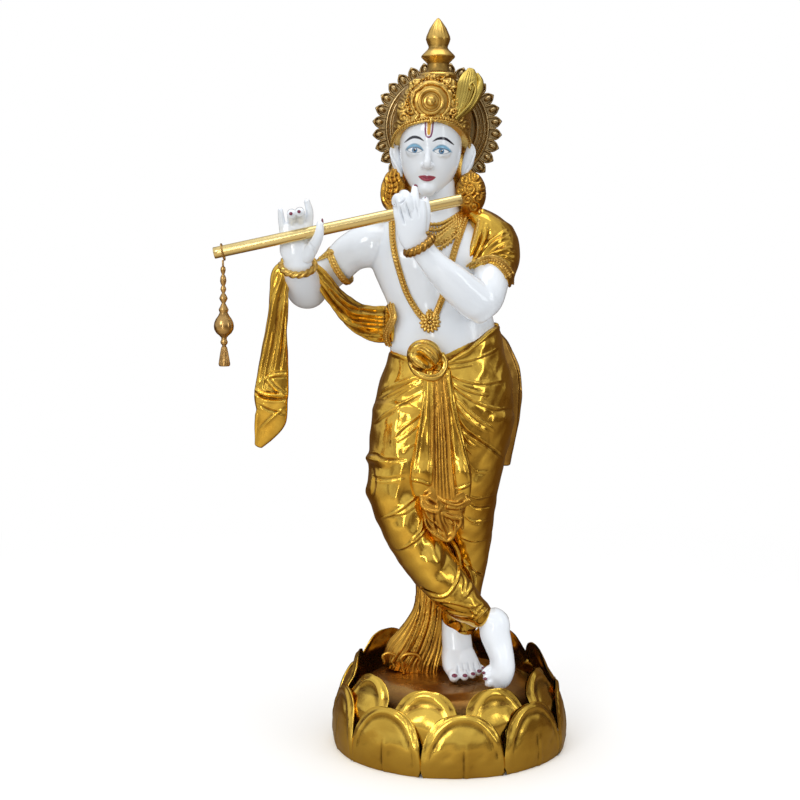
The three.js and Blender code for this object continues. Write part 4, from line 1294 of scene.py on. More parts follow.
def make_pleats():
    """The centre fall: a plain panel on each side of fine pleats, each with its own hem."""
    left = [[-46, -90, 806, 13, 12], [-47, -97, 745, 14, 12], [-53, -102, 684, 18, 12],
            [-59, -105, 628, 22, 13], [-61, -109, 596, 24, 17], [-62, -107, 572, 22, 14],
            [-60, -104, 552, 18, 10]]
    middle = [[-27, -93, 806, 16, 13], [-25, -99, 745, 18, 13], [-22, -104, 684, 22, 13],
              [-19, -107, 628, 25, 13], [-16, -109, 580, 28, 13], [-12, -108, 536, 31, 12]]
    right = [[-12, -90, 806, 10, 12], [-4, -97, 745, 12, 12], [6, -101, 684, 15, 12], [16, -104, 628, 18, 12],
             [20, -108, 594, 20, 16], [22, -105, 568, 18, 14], [22, -102, 548, 16, 10]]
    panels = [limb(keys, around=48, along=110, square=0.72, cap=0.1) for keys in (left, right)]
    pleats = [limb(middle, around=48, along=110, square=0.72, cap=0.1)]
    lines = [
        ([[-58, 800], [-60, 732], [-68, 669], [-76, 613], [-84, 584]], 2.2, 2.8, "fold"),
        ([[-41, 800], [-40, 724], [-41, 653], [-41, 589], [-40, 566]], 2.2, 3.2, "fold"),
        ([[-8, 800], [2, 724], [16, 669], [30, 613], [40, 576]], 2.2, 2.6, "fold"),
        ([[-14, 796], [-10, 732], [-5, 669], [-1, 613], [6, 548]], 2.4, 3.4, "fold"),
        ([[-84, 582], [-62, 578], [-42, 570]], 2.2, 2.4, "fold"),
        ([[6, 562], [24, 566], [40, 574]], 2.2, 2.4, "fold"),
    ]
    for share in (0.12, 0.3, 0.46, 0.62, 0.8):
        lines.append(([[-38 + 22 * share, 800], [-38 + 27 * share, 724], [-39 + 34 * share, 669],
                       [-39 + 38 * share, 613], [-40 + 48 * share, 536]], 1.5, 2.4, "cut"))
    for name, forms, material in (("waistcloth_fall", panels, CLOTH),
                                  ("waistcloth_pleats", pleats, STREAKED)):
        piece = clay(name, forms, FOLD_GRAIN, 2)
        carve(piece, lines)
        swell(piece, [[-62, 604, 14, 18, 4], [18, 604, 10, 16, 4], [-54, 660, 10, 36, -3],
                      [10, 660, 8, 30, -2]])
        on_figure(piece, material, reach=8, depth=1.8, swells=0.4, share=0.6)


def make_ruffles():
    """The loose curled hems below the fall."""
    forms = []
    for path, wide in (
        ([[-68, -108, 566], [-62, -113, 545], [-60, -117, 531], [-44, -121, 522], [-29, -121, 520],
          [-23, -118, 532], [-38, -116, 547], [-54, -112, 551]], 4.6),
        ([[-40, -108, 568], [-28, -116, 552], [-12, -121, 541], [14, -120, 537], [33, -112, 543],
          [34, -112, 538], [15, -118, 528], [-10, -121, 530]], 4.8),
        ([[-20, -118, 517], [-2, -118, 509], [17, -114, 503], [15, -112, 489], [0, -110, 474],
          [-13, -108, 470]], 4.6),
        ([[-13, -116, 512], [4, -114, 495], [6, -111, 474], [-9, -109, 458], [-36, -111, 473],
          [-52, -111, 493], [-50, -112, 518]], 4.8),
        ([[-30, -116, 544], [-28, -118, 514], [-22, -116, 490], [-12, -110, 464]], 6),
        ([[-46, -112, 544], [-42, -116, 515], [-34, -113, 488]], 5.5),
        ([[8, -112, 530], [20, -110, 508], [22, -106, 482]], 5),
    ):
        forms.append(rod(path, wide, end=wide * 0.8, around=14))
    forms += [
        limb([[-42, -102, 572, 24, 16], [-40, -103, 548, 26, 18], [-31, -104, 520, 31, 17],
              [-25, -102, 494, 28, 15], [-19, -100, 462, 18, 11]], around=48, along=50, square=0.75),
        limb([[8, -100, 566, 28, 16], [8, -102, 542, 27, 18], [3, -102, 518, 19, 16], [0, -101, 494, 16, 13],
              [-5, -100, 466, 12, 10]], around=48, along=50, square=0.75),
    ]
    hem = clay("waistcloth_hem", forms, FINE_GRAIN, 3)
    carve(hem, [([[-50, 540], [-40, 534], [-32, 528]], 3.0, 4.5, "cut"),
                ([[-8, 536], [10, 532], [26, 540]], 2.2, 4, "cut"),
                ([[-8, 500], [4, 492], [2, 482]], 2.6, 4, "cut"),
                ([[-44, 498], [-30, 482], [-16, 470]], 2.4, 3.4, "cut"),
                ([[-56, 520], [-44, 500], [-28, 486]], 2.0, 2.4, "fold"),
                ([[-20, 512], [-16, 494], [-8, 480]], 1.8, 2.4, "fold"),
                ([[-70, 562], [-58, 552], [-46, 556]], 2.2, 3.4, "cut"),
                ([[-18, 560], [2, 552], [22, 560]], 2.2, 3.4, "cut"),
                ([[-36, 514], [-34, 490], [-26, 468]], 1.8, 2.6, "cut"),
                ([[-58, 512], [-48, 488], [-36, 470]], 1.8, 2.6, "cut")])
    on_figure(hem, STREAKED, reach=6, depth=1.6, share=0.7)


def make_knot():
    """The tied bun at the waist, with a hollow in its middle and a loop below."""
    bun = ball((-57, -102, 838), (36, 25, 33), around=40, rings=28)
    loop = rod([[-84, -102, 824], [-74, -112, 806], [-54, -116, 795], [-34, -112, 794], [-19, -104, 805],
                [-15, -98, 822], [-22, -98, 840]], 7.5, around=16)
    knot = clay("waist_knot", [bun, loop], FINE_GRAIN, 2)
    carve(knot, [([[-78, 842], [-66, 838], [-52, 826], [-40, 812]], 6, 13, "cut"),
                 ([[-84, 834], [-80, 850], [-66, 858], [-48, 856], [-34, 844], [-28, 826]], 2.6, 3.5, "fold"),
                 ([[-92, 838], [-86, 854], [-70, 866], [-50, 866]], 2, 2.6, "cut"),
                 ([[-88, 826], [-76, 812], [-58, 806], [-44, 804]], 2, 3.0, "cut"),
                 ([[-72, 852], [-56, 850], [-42, 836], [-34, 822]], 1.8, 2.4, "cut"),
                 ([[-80, 828], [-68, 818], [-54, 812]], 1.8, 2.4, "fold"),
                 ([[-64, 800], [-44, 794], [-26, 799], [-18, 812]], 1.8, 2.0, "cut"),
                 ([[-46, 872], [-30, 862], [-22, 846]], 1.8, 1.6, "cut")])
    on_figure(knot, POLISHED, reach=7, depth=1.8, swells=0.5, share=0.7)


# The scarf

def make_scarf_tail():
    """The end that hangs from the right forearm: long pleats, a folded kink and a pointed corner."""
    keys = [
        [-322, -58, 1012, 22, 14], [-344, -62, 1000, 24, 14], [-352, -63, 970, 20, 13],
        [-354, -63, 935, 20, 12], [-360, -62, 880, 23, 12], [-365, -62, 820, 30, 12],
        [-369, -62, 775, 34, 13], [-371, -64, 748, 35, 14], [-370, -62, 722, 32, 12],
        [-374, -62, 700, 33, 10], [-386, -62, 672, 22, 8], [-398, -62, 648, 9, 5],
    ]
    tail = clay("scarf_tail", [limb(keys, around=60, along=150, square=0.75)], 1.8, 2)
    lines = [
        ([[-343, 1000], [-360, 949], [-371, 888], [-388, 816], [-397, 775]], 3.4, 4, "fold"),
        ([[-338, 990], [-352, 940], [-360, 880], [-374, 810], [-382, 770]], 2.6, 3.4, "cut"),
        ([[-334, 985], [-342, 928], [-350, 867], [-362, 800]], 3.4, 3.6, "fold"),
        ([[-330, 980], [-336, 930], [-342, 867], [-350, 805]], 2.4, 2.6, "cut"),
        ([[-378, 792], [-362, 797], [-338, 799]], 2.6, 3.4, "fold"),
        ([[-402, 768], [-382, 759], [-336, 755]], 3, 5, "fold"),
        ([[-400, 762], [-380, 750], [-336, 746]], 2.6, 5, "cut"),
        ([[-342, 756], [-362, 772], [-378, 790]], 2.6, 3.2, "fold"),
        ([[-343, 729], [-366, 711], [-390, 688]], 3, 3.2, "lap"),
        ([[-397, 738], [-370, 725], [-343, 718]], 2.6, 2.4, "cut"),
        ([[-397, 730], [-402, 690], [-404, 650]], 2.4, 2.0, "fold"),
    ]
    carve(tail, lines)
    carve(tail, [([[-340 - 4 * k, 990], [-350 - 4 * k, 900], [-352 - 10 * k, 800]], 3.2, 2.8, "fold")
                 for k in range(3)],
          **REAR)
    on_figure(tail, CLOTH, reach=8, depth=1.8, swells=0.7, share=0.6)


def make_scarf_swag():
    """The cloth that sweeps from the forearm behind the waist."""
    front = np.array((0.35, -1, 0.55))
    keys = [
        [-340, -40, 1006, 14, 12], [-316, -38, 1012, 17, 13], [-296, -40, 1014, 15, 13],
        [-277, -34, 1002, 16, 13], [-261, -24, 982, 18, 13], [-246, -8, 959, 20, 13],
        [-226, 12, 935, 25, 13], [-198, 32, 908, 34, 13], [-168, 46, 895, 40, 13], [-142, 52, 892, 43, 13],
        [-104, 62, 892, 43, 12], [-50, 80, 910, 42, 11], [10, 84, 950, 42, 11], [60, 68, 1010, 42, 11],
        [92, 40, 1062, 38, 12],
    ]
    pleat = lambda turn, share: 0.10 * np.cos(9 * np.cos(turn) + 1.2) * np.abs(np.sin(turn))
    wrap = [[-121, -36, 897, 37, 4], [-126, -20, 897, 41, 5], [-130, 4, 895, 42, 6], [-131, 34, 893, 42, 7],
            [-132, 56, 892, 42, 8]]
    swag = clay("scarf_swag", [limb(keys, front, around=80, along=200, square=0.8, fold=pleat),
                               limb(wrap, (-1, -0.2, 0), around=64, along=60, square=0.8)], FOLD_GRAIN, 2)
    lines = [
        ([[-286, 1002], [-258, 976], [-234, 945], [-200, 922], [-137, 916]], 3.4, 4.0, "lap"),
        ([[-290, 994], [-264, 966], [-240, 930], [-200, 898], [-137, 890]], 3.4, 4.0, "fold"),
        ([[-290, 980], [-270, 954], [-243, 912], [-195, 876], [-137, 865]], 3.4, 4.0, "fold"),
        ([[-286, 996], [-262, 971], [-237, 938], [-200, 911], [-137, 904]], 2.4, 3.4, "cut"),
        ([[-292, 986], [-268, 960], [-242, 920], [-198, 887], [-137, 878]], 2.4, 3.4, "cut"),
        ([[-278, 1004], [-240, 966], [-205, 938], [-160, 930], [-137, 930]], 2.6, 3, "fold"),
    ]
    carve(swag, lines)
    on_figure(swag, CLOTH, reach=8, depth=1.8, swells=0.8, share=0.34)


def lace(path, width, lift, front):
    """A worked hem: a flat tape, a cord on each side and a row of small bosses between."""
    path = evenly(path, 4)
    tangent = unit(np.gradient(path, axis=0))
    across = unit(np.cross(tangent, np.array(front, float)))
    out = unit(np.cross(across, tangent))
    out *= np.sign(out @ np.array(front, float))[:, None]
    forms = [limb([[*point, width, lift * 0.7] for point in path], front, 12, len(path))]
    for side in (-1, 1):
        forms.append(twisted_cord(path + across * side * width * 0.85 + out * lift * 0.4, lift * 0.75,
                                  pitch=7, step=1.6))
    rows = evenly(path + out * lift * 0.7, 5.5)
    forms.append(beads(rows, width * 0.42))
    return forms


def make_swag_hem():
    path = [[-124, -22, 940], [-122, -40, 925], [-119, -48, 912], [-126, -46, 895], [-133, -34, 878],
            [-132, -20, 862], [-128, -10, 852]]
    on_figure(cast("scarf_hem", lace(path, 7, 3.0, (-0.5, -1, 0.1))), ORNAMENT, reach=3, depth=1.0)


# The shoulder cloth's lower edge over the arm, as x and the height there, seen from the front
ARM_HEM = [[20, 1006], [30, 1010], [48, 1017], [66, 1026], [88, 1022], [103, 1009], [111, 990], [118, 966],
           [130, 950]]


def make_shawl():
    """The cloth over the left shoulder, gathered at the armpit, its worked hem arched over the arm."""
    cap = limb([[46, 12, 1122, 18, 40], [58, 10, 1112, 27, 50], [76, 6, 1092, 38, 57], [88, 2, 1070, 47, 58],
                [91, -6, 1052, 49, 57]], around=64, along=50)
    sleeve = limb([[88, 4, 1074, 48, 52], [91, -8, 1054, 51, 54], [91, -26, 1032, 50, 53],
                   [86, -42, 1012, 47, 51],
                   [79, -58, 993, 45, 49], [74, -68, 980, 42, 46]], around=72, along=60)
    apron = limb([[30, -50, 1012, 9, 8], [44, -56, 1030, 17, 12], [58, -50, 1060, 22, 14],
                  [64, -34, 1096, 18, 16],
                  [60, -14, 1124, 12, 16]], (0.2, -1, 0.2), around=36, along=50)
    shawl = clay("shoulder_cloth", [cap, sleeve, apron], FOLD_GRAIN, 3)
    corners, normals = corners_of(shawl), normals_of(shawl)
    seen = from_the_eye(corners)
    under = np.interp(seen[:, 0], *np.array(ARM_HEM).T) - seen[:, 1]
    move_to(shawl, corners - normals * (22 * ease(-0.5, 1.5, under) * ease(24, 4, corners[:, 1]))[:, None])
    lines = [
        ([[38, 1018], [48, 1028], [68, 1051], [86, 1066], [112, 1078]], 3.2, 4.6, "fold"),
        ([[42, 1026], [52, 1040], [71, 1062], [91, 1077], [108, 1088]], 2.8, 3.8, "fold"),
        ([[40, 1014], [56, 1024], [75, 1038], [97, 1050], [124, 1055]], 3.2, 4.2, "fold"),
        ([[38, 1022], [47, 1036], [58, 1058], [65, 1080], [67, 1100]], 3.4, 4.6, "fold"),
        ([[34, 1026], [43, 1044], [53, 1066], [58, 1088]], 2.6, 3.6, "cut"),
        ([[43, 1022], [58, 1044], [78, 1066], [96, 1080]], 2.2, 3.2, "cut"),
        ([[60, 1032], [82, 1040], [104, 1048], [126, 1044]], 2.6, 3, "fold"),
        ([[44, 1018], [62, 1032], [84, 1048], [104, 1060]], 2.2, 3.0, "cut"),
        ([[78, 1034], [100, 1036], [124, 1028]], 2.4, 2.2, "cut"),
    ]
    carve(shawl, lines)
    carve(shawl, [([[60 + 16 * k, 1118 - 8 * k], [74 + 14 * k, 1070], [84 + 10 * k, 1010]], 4, 3.6, "fold")
                  for k in range(4)], **REAR)
    on_figure(shawl, CLOTH, reach=8, depth=1.8, swells=0.6, share=0.45)
    touch = touch_of(shawl)
    hem = laid_on(touch, [[24, 1012], [42, 1019], [60, 1028], [78, 1031], [94, 1024], [106, 1012],
                          [114, 998]], 1.5, 4)
    outer = [[119, -36, 986], [120, -22, 978]]
    edge = [[57, -28, 1130], [54, -46, 1100], [44, -60, 1064], [30, -62, 1024]]
    forms = lace(np.concatenate([hem, outer]), 10, 3.2, (0.4, -1, -0.5)) + [twisted_cord(edge, 3.2, pitch=10)]
    on_figure(cast("shoulder_hem", forms), ORNAMENT, reach=3, depth=1.0)


def make_back_drop():
    """The scarf's other end, which comes round the waist and hangs behind the left hip."""
    keys = [
        [-20, 66, 916, 20, 8], [20, 74, 908, 24, 10], [60, 75, 882, 28, 12], [94, 70, 844, 30, 12],
        [113, 66, 802, 35, 12], [121, 62, 755, 35.5, 12], [121, 60, 700, 32, 11], [115, 60, 640, 27, 10],
        [110, 60, 592, 22, 8],
    ]
    drop = clay("scarf_drop", [limb(keys, around=64, along=140, square=0.75)], FOLD_GRAIN, 2)
    lines = [([[120, 866], [140, 820], [147, 780], [145, 700], [134, 610]], 2.6, 3, "fold"),
             ([[112, 864], [132, 815], [139, 780], [137, 700], [128, 610]], 2.4, 3, "cut")]
    carve(drop, lines)
    carve(drop, [([[-10, 900 + 8 * k], [44, 890 + 8 * k], [84 + 10 * k, 850], [98 + 10 * k, 760],
                   [100 + 8 * k, 620]],
                  3.6, 3.4, "fold") for k in range(5)], **REAR)
    # The darker cloth here is painted shade, for the drop that hangs in shadow behind the hip
    on_figure(drop, DARK_CLOTH, reach=8, depth=1.8, swells=0.8, share=0.35)


def seen_at(u, v, y):
    """The point at depth y that shows at (u, v) in the picture."""
    aside, up = (u - 400) / PIXELS, (400 - v) / PIXELS
    pitch = math.radians(EYE_PITCH)
    ray = np.array([aside, math.cos(pitch) + up * math.sin(pitch), up * math.cos(pitch) - math.sin(pitch)])
    return EYE + ray * (y - EYE[1]) / ray[1]


# Where the two curls of the trailing hem show in the picture, and each one's half-width
HEM_CURLS = (
    ([[404, 673], [402, 665], [401, 659], [405, 655], [411, 654], [417, 655], [420, 660], [418, 666],
      [420, 671]], 3.6),
    ([[384, 663], [383, 656], [389, 653], [395, 656], [392, 662], [394, 667]], 3.4),
)
CURLS_Y = -9


def make_trailing_cloth():
    """Cloth that falls to the ground behind the legs and carries the figure, its hem curled like pleats."""
    keys = [
        [-6, 30, 760, 50, 16], [-8, 48, 690, 60, 26], [-16, 56, 620, 58, 32], [-24, 58, 540, 52, 36],
        [-32, 48, 400, 38, 36], [-38, 42, 310, 32, 36], [-42, 40, 270, 34, 37], [-50, 40, 234, 44, 40],
        [-60, 42, 200, 58, 45], [-68, 44, 172, 70, 50], [-70, 45, 146, 72, 52],
    ]
    trunk = clay("trailing_cloth", [limb(keys, around=80, along=140, cap=0.05)], FOLD_GRAIN, 2)
    lines = []
    for k in range(20):
        top = -64 + 4 * k + 1.5 * math.sin(3.1 * k)
        low = -138 + 7.8 * k + 4 * math.sin(1.7 * k)
        lines.append(([[top, 400], [top - 2, 300], [0.6 * top + 0.4 * low, 232], [0.2 * top + 0.8 * low, 190],
                       [low + 3 * math.sin(2.9 * k), 152]], 1.6 + 0.7 * math.sin(1.3 * k),
                      2.2 + 1.5 * math.sin(2.3 * k),
                      "fold" if k % 3 else "cut"))
    lines += [([[-97, 148], [-96, 166]], 7, -11, "roll"), ([[-126, 150], [-124, 166]], 6, -9, "roll"),
              ([[-112, 140], [-110, 176]], 4, -6, "roll")]
    carve(trunk, lines)
    carve(trunk, [([[-70 + 9 * k, 660], [-66 + 7 * k, 420], [-70 + 7 * k, 280], [-128 + 14 * k, 160]], 3.6,
                   3.8, "fold")
                  for k in range(9)], **REAR)
    carve(trunk, [([[8 + 7 * k, 400], [6 + 8 * k, 290], [-2 + 10 * k, 210], [-8 + 12 * k, 150]],
                   1.8 + 0.5 * math.sin(2 * k),
                   2.6 + math.sin(3 * k), "fold") for k in range(9)],
          view=lambda corners: corners[:, [1, 2]], facing=turned_to((-1, 0, 0), 0.4))
    on_figure(trunk, STREAKED, reach=6, depth=1.6, swells=0.8, share=0.36)
    hooks = [rod([seen_at(u, v, CURLS_Y) for u, v in line], wide, around=14) for line, wide in HEM_CURLS]
    on_figure(cast("trailing_hem", hooks), STREAKED, reach=5, depth=1.4)


# The jewels

def make_necklaces(body):
    touch = touch_of(body, LEFT_ARM[2:] + LEFT_FOREARM)
    forms = []
    ends = []
    for line in ([[-121, 1104], [-120, 1076], [-116, 1046], [-106, 1008], [-92, 966], [-72, 930], [-56, 910]],
                 [[24, 1112], [16, 1086], [6, 1056], [-6, 1012], [-10, 992], [-18, 962], [-28, 934],
                  [-36, 914]]):
        middle = laid_on(touch, line, 2.5, 2.0)
        ends.append(middle[0])
        tangent = unit(np.gradient(middle, axis=0))
        normal = np.array([touch.nearest(point)[1] for point in middle])
        across = unit(np.cross(tangent, normal))
        forms.append(limb([[*point, 6, 1.8] for point in middle[::2]], FRONT, 12, len(middle)))
        for side in (-1, 1):
            forms.append(beads(evenly(middle + across * side * 5.4 + normal * 0.8, 4.4), 2.3))
        forms.append(beads(evenly(middle + normal * 1.8, 7.4), 3.5, 2))
    nape = [ends[0], (-112, 2, 1120), (-84, 40, 1112), (-36, 60, 1104), (4, 46, 1112), (24, 6, 1122), ends[1]]
    forms.append(twisted_cord(resting(touch, nape), 3.4, pitch=9))
    on_figure(cast("long_necklace", forms), ORNAMENT, reach=3, depth=1.0)


def flower(centre, axis, rings, core):
    """Rings of petals round a domed middle. A ring is [radius, count, petal length, petal width, lift]."""
    stand = Vector(UP).rotation_difference(Vector(axis)).to_matrix()
    forms = [ball(tuple(np.array(centre) + np.array(axis) * 2), (core, core, core * 0.7))]
    for radius, count, length, width, lift in rings:
        for i in range(count):
            turn = TURN * i / count
            petal = bmesh.new()
            bmesh.ops.create_icosphere(petal, subdivisions=2, radius=1)
            place = (Matrix.Translation(centre) @ stand.to_4x4() @ Matrix.Rotation(turn, 4, "Z")
                     @ Matrix.Translation((radius, 0, lift)) @ Matrix.Diagonal((length, width, 2.6, 1)))
            bmesh.ops.transform(petal, matrix=place, verts=petal.verts)
            forms.append(petal)
    return forms


def make_pendant(body):
    touch = touch_of(body, LEFT_ARM[2:] + LEFT_FOREARM)
    spot, normal = touch(-45, 904)
    axis = tuple(unit(normal + np.array([0, -1.0, 0.1])))
    forms = flower(tuple(spot + normal * 1.5), axis, [[16, 14, 6.5, 4, 1.5], [9.5, 10, 5, 3.2, 4.5]], 5.5)
    top, _ = touch(-46, 925)
    forms += flower(tuple(top + np.array([0, -2, 0])), axis, [[4, 6, 3.4, 2.4, 1.5]], 3)
    for x, z in ((-60, 918), (-31, 918)):
        side, _ = touch(x, z)
        forms.append(ball(tuple(side + np.array([0, -2.5, 0])), (4.5, 4, 4.5), around=10, rings=8))
    on_figure(cast("pendant", forms), ORNAMENT, reach=3, depth=1.0)


def make_collar(body):
    """The worked collar that hangs at the throat in three bands."""
    touch = touch_of(body, LEFT_ARM[2:] + LEFT_FOREARM)
    forms = []
    for i, share in enumerate((0.0, 0.35, 0.7, 1.0)):
        line = [[-84 + 7 * share, 1116 - 4 * share], [-60 + 4 * share, 1104 - 22 * share],
                [-36, 1100 - 34 * share],
                [-14 - 2 * share, 1106 - 24 * share], [16 - 4 * share, 1126 - 20 * share],
                [36 - 8 * share, 1140 - 24 * share]]
        path = laid_on(touch, line, 2.5, 2.4)
        forms.append(twisted_cord(path, 3.4, pitch=8, step=1.6))
        if i == 0:
            nape = [path[0], (-84, 4, 1130), (-68, 32, 1138), (-36, 46, 1142), (-2, 34, 1142), (28, 4, 1146),
                    path[-1]]
            forms.append(twisted_cord(resting(touch, nape), 3.6, pitch=9))
        if i < 3:
            forms.append(beads(evenly(laid_on(touch, [[x, z - 7] for x, z in line], 2.5, 3), 6.5), 3.2))
    line = [[-76, 1096], [-56, 1076], [-34, 1064], [-12, 1074], [14, 1096]]
    forms.append(limb([[*p, 12, 1.6] for p in laid_on(touch, line, 1.0, 8)], FRONT, 16, 60))
    for i, (x, z) in enumerate(curve(line, 9)):
        sense = 1 if i % 2 else -1
        for lift, radius in ((5.5, 6), (-5, 5)):
            curl = spiral(x, z + lift, radius, 1.2, 90 + 40 * i, sense, 10)
            forms.append(rod(laid_on(touch, curl, 2.6, 2.5), 1.5, around=6, per_key=2))
    forms.append(twisted_cord(laid_on(touch, [[x, z - 12] for x, z in line], 2.5, 2.4), 2.4, pitch=7,
                              step=1.6))
    drops = laid_on(touch, [[-60, 1066], [-42, 1052], [-33, 1048], [-24, 1052], [-4, 1066]], 2, 7)
    forms += [ball(tuple(p), (3.4, 3.2, 5.0), around=8, rings=6) for p in drops]
    on_figure(cast("collar", forms), ORNAMENT, reach=3, depth=1.0)


def make_arm_rings():
    right = twisted_ring((-311, -104, 1019), (33, 31), 6.5, (0, -0.6, 0.8), twists=15)
    on_figure(cast("right_bracelet", [right]), ORNAMENT, reach=4, depth=1.4)
    left = twisted_ring((-68, -157, 1059), (27, 24), 8.6, (-0.5, -0.25, 0.8), twists=16, strands=3,
                        depth=0.10)
    on_figure(cast("left_bracelet", [left]), DARK_CLOTH, reach=4, depth=1.0)
    axis = Vector((0.86, -0.2, 0.47)).normalized()
    middle = np.array([-232, 27, 1017])
    forms = [twisted_ring(tuple(middle + np.array(axis) * off), (40.5, 40.5), 2.8, axis, twists=26, depth=0.2,
                          around=14) for off in (-5, 5)]
    forms.append(twisted_ring(tuple(middle), (40, 40), 4.2, axis, strands=1, twists=40, depth=0.2, around=14,
                              along=200))
    crest = [[-244, -4, 1044, 4, 3], [-252, 0, 1044, 9, 4], [-266, 8, 1036, 6, 4], [-280, 20, 1027, 2, 2.5]]
    forms.append(limb(crest, (0, -0.8, 0.6), around=16, along=24))
    forms.append(beads([[-248, -6, 1045], [-257, -2, 1042], [-265, 3, 1038], [-273, 10, 1033]], 3.4, 2))
    on_figure(cast("armlet", forms), ORNAMENT, reach=4, depth=1.2)


# The halo, the flute and its tassel

def make_halo():
    profile = [
        [0, -4], [40, -4], [42, -7], [47, -7], [49, -4], [92, -4], [94, -7], [99, -7], [101, -4], [110, -4],
        [111, -2], [111, 4], [109, 7], [106.5, 8], [104.5, 6.5], [103.5, 3.6], [102, 3.4], [100.5, 6.4],
        [98.5, 7], [97, 5], [96, 3], [94.5, 3.2], [93, 5.6], [91.5, 5.6], [90, 3.4], [88.5, 3.2], [87, 6.2],
        [84, 6.8], [81.5, 4.4], [79, 2.2], [70, 2.4], [67, 3.4], [0, 3.6],
    ]
    disc = turned(profile, HALO_CENTRE, 120, 0.5, (0, -1, 0))
    done(cast("halo_disc", [disc]), "halo", "antique_brass", ANTIQUE, reach=3, depth=1.0)
    forms = []
    for i in range(HALO_PETALS):
        turn = TURN * (i + 0.5) / HALO_PETALS
        place = (Matrix.Translation(HALO_CENTRE) @ Matrix.Rotation(math.pi / 2, 4, "X")
                 @ Matrix.Rotation(turn, 4, "Z") @ Matrix.Translation((HALO_PETAL_FOOT, 0, 0)))
        forms += halo_petal(place)
    done(cast("halo_petals", forms), "halo", "antique_brass", ANTIQUE, reach=3, depth=1.0)


def halo_petal(place):
    """A pointed leaf with a rolled edge round a long bead."""
    def leaf(u, v):
        half = np.interp(u, [0, 0.3, 0.5, 0.65, 0.78, 0.89, 0.96, 1],
                         [12.2, 12.9, 12.9, 11.6, 8.8, 5.0, 2.4, 0.8])
        side = 2 * v - 1
        edge = (side ** 6 + np.clip((u - 0.2) / 0.8, 0, 1) ** 6) ** (1 / 6)
        rim = 4.6 * bump(edge - 0.84, 0.11)
        return np.stack([31 * u, side * half, 0.4 + rim], axis=1)

    front = sheet(leaf, 18, 20)
    walls = bmesh.ops.extrude_face_region(front, geom=front.faces[:])
    for item in walls["geom"]:
        if isinstance(item, bmesh.types.BMVert):
            item.co.z = HALO_PETAL_BACK
    bmesh.ops.recalc_face_normals(front, faces=front.faces)
    bead = ball((16, 0, 1), (9, 6, 7), around=12, rings=8)
    for form in (front, bead):
        bmesh.ops.transform(form, matrix=place, verts=form.verts)
    return [front, bead]


def along_flute(form):
    lean = Matrix.Rotation(math.radians(90 - FLUTE_RISE), 4, "Y")
    bmesh.ops.transform(form, matrix=Matrix.Translation(FLUTE_MIDDLE) @ lean, verts=form.verts)
    return form


def make_flute():
    half, r, bore = FLUTE_LENGTH / 2, FLUTE_R, FLUTE_R - FLUTE_WALL
    profile = [[bore, -half], [r - FLUTE_EDGE, -half], [r, -half + FLUTE_EDGE], [r, -half + 60], [r, 0],
               [r, half - 60],
               [r, half - FLUTE_EDGE], [r - FLUTE_EDGE, half], [bore, half], [bore, 0]]
    tube = bmesh.new()
    ring = [tube.verts.new((radius, 0, z)) for radius, z in profile]
    edges = [tube.edges.new(pair) for pair in zip(ring, ring[1:] + ring[:1])]
    bmesh.ops.spin(tube, geom=ring + edges, cent=(0, 0, 0), axis=UP, angle=TURN, steps=64, use_merge=True)
    bmesh.ops.remove_doubles(tube, verts=tube.verts, dist=MERGE)
    long_edges = [edge for edge in tube.edges if edge.calc_length() > 30]
    bmesh.ops.subdivide_edges(tube, edges=long_edges, cuts=5)
    bmesh.ops.recalc_face_normals(tube, faces=tube.faces)
    done(cast("flute_tube", [along_flute(tube)]), "flute", "flute_brass", PALE, reach=2)


def make_tassel():
    """A wire ring round the flute, a turned drop and a bell of strands."""
    out = FLUTE_LENGTH / 2 - TASSEL_INSET
    rise = math.radians(FLUTE_RISE)
    x, y, z = (FLUTE_MIDDLE[0] - out * math.cos(rise), FLUTE_MIDDLE[1],
               FLUTE_MIDDLE[2] - out * math.sin(rise) - 1.5)
    ring_r = FLUTE_R + TASSEL_PLAY + TASSEL_WIRE
    hoop = twisted_ring((x, y, z), (ring_r, ring_r), TASSEL_WIRE, (math.cos(rise), 0, math.sin(rise)),
                        strands=1, twists=0,
                        depth=0.0, around=12, along=48)
    profile = [
        [0, 0.5 - ring_r], [2, -ring_r], [2, -28], [4.4, -30], [5.4, -35], [4.4, -40], [2.6, -44],
        [5.6, -50], [6.4, -57], [5, -63], [3.2, -66], [5, -70], [6, -73.5], [4.4, -78], [2.8, -81], [6, -86],
        [8.6, -92], [6, -97], [3.6, -101], [7, -108], [10, -114], [8, -120], [11, -126], [16, -133],
        [19, -140], [20, -147], [19, -154], [15, -161], [9, -166], [5.5, -170], [5.5, -174], [7.5, -178],
        [6.6, -182], [4, -185], [4.6, -190], [6.8, -200], [9, -212], [11, -224], [10, -227], [0, -227],
    ]
    forms = [hoop, turned(profile, (x, y, z), 40, 0.5)]
    for i in range(TASSEL_STRANDS):
        turn = TURN * i / TASSEL_STRANDS
        c, s = math.cos(turn), math.sin(turn)
        forms.append(rod([[x + 4 * c, y + 4 * s, z - 188], [x + 6.8 * c, y + 6.8 * s, z - 202],
                          [x + 10.6 * c, y + 10.6 * s, z - 225]], 1.6, around=8, per_key=4))
    done(cast("flute_tassel_drop", forms), "flute_tassel", "tassel_brass", LINK, reach=3, depth=1.0)


# The lotus base

OUTER_PROFILE = [[0, 247], [0.08, 250], [0.25, 251], [0.45, 249], [0.6, 245], [0.7, 241], [0.8, 237],
                 [0.9, 234], [1, 231]]
INNER_PROFILE = [[0, 222], [0.2, 228], [0.4, 232], [0.56, 233], [0.64, 230], [0.72, 222], [0.8, 211],
                 [0.88, 205], [1, 199]]


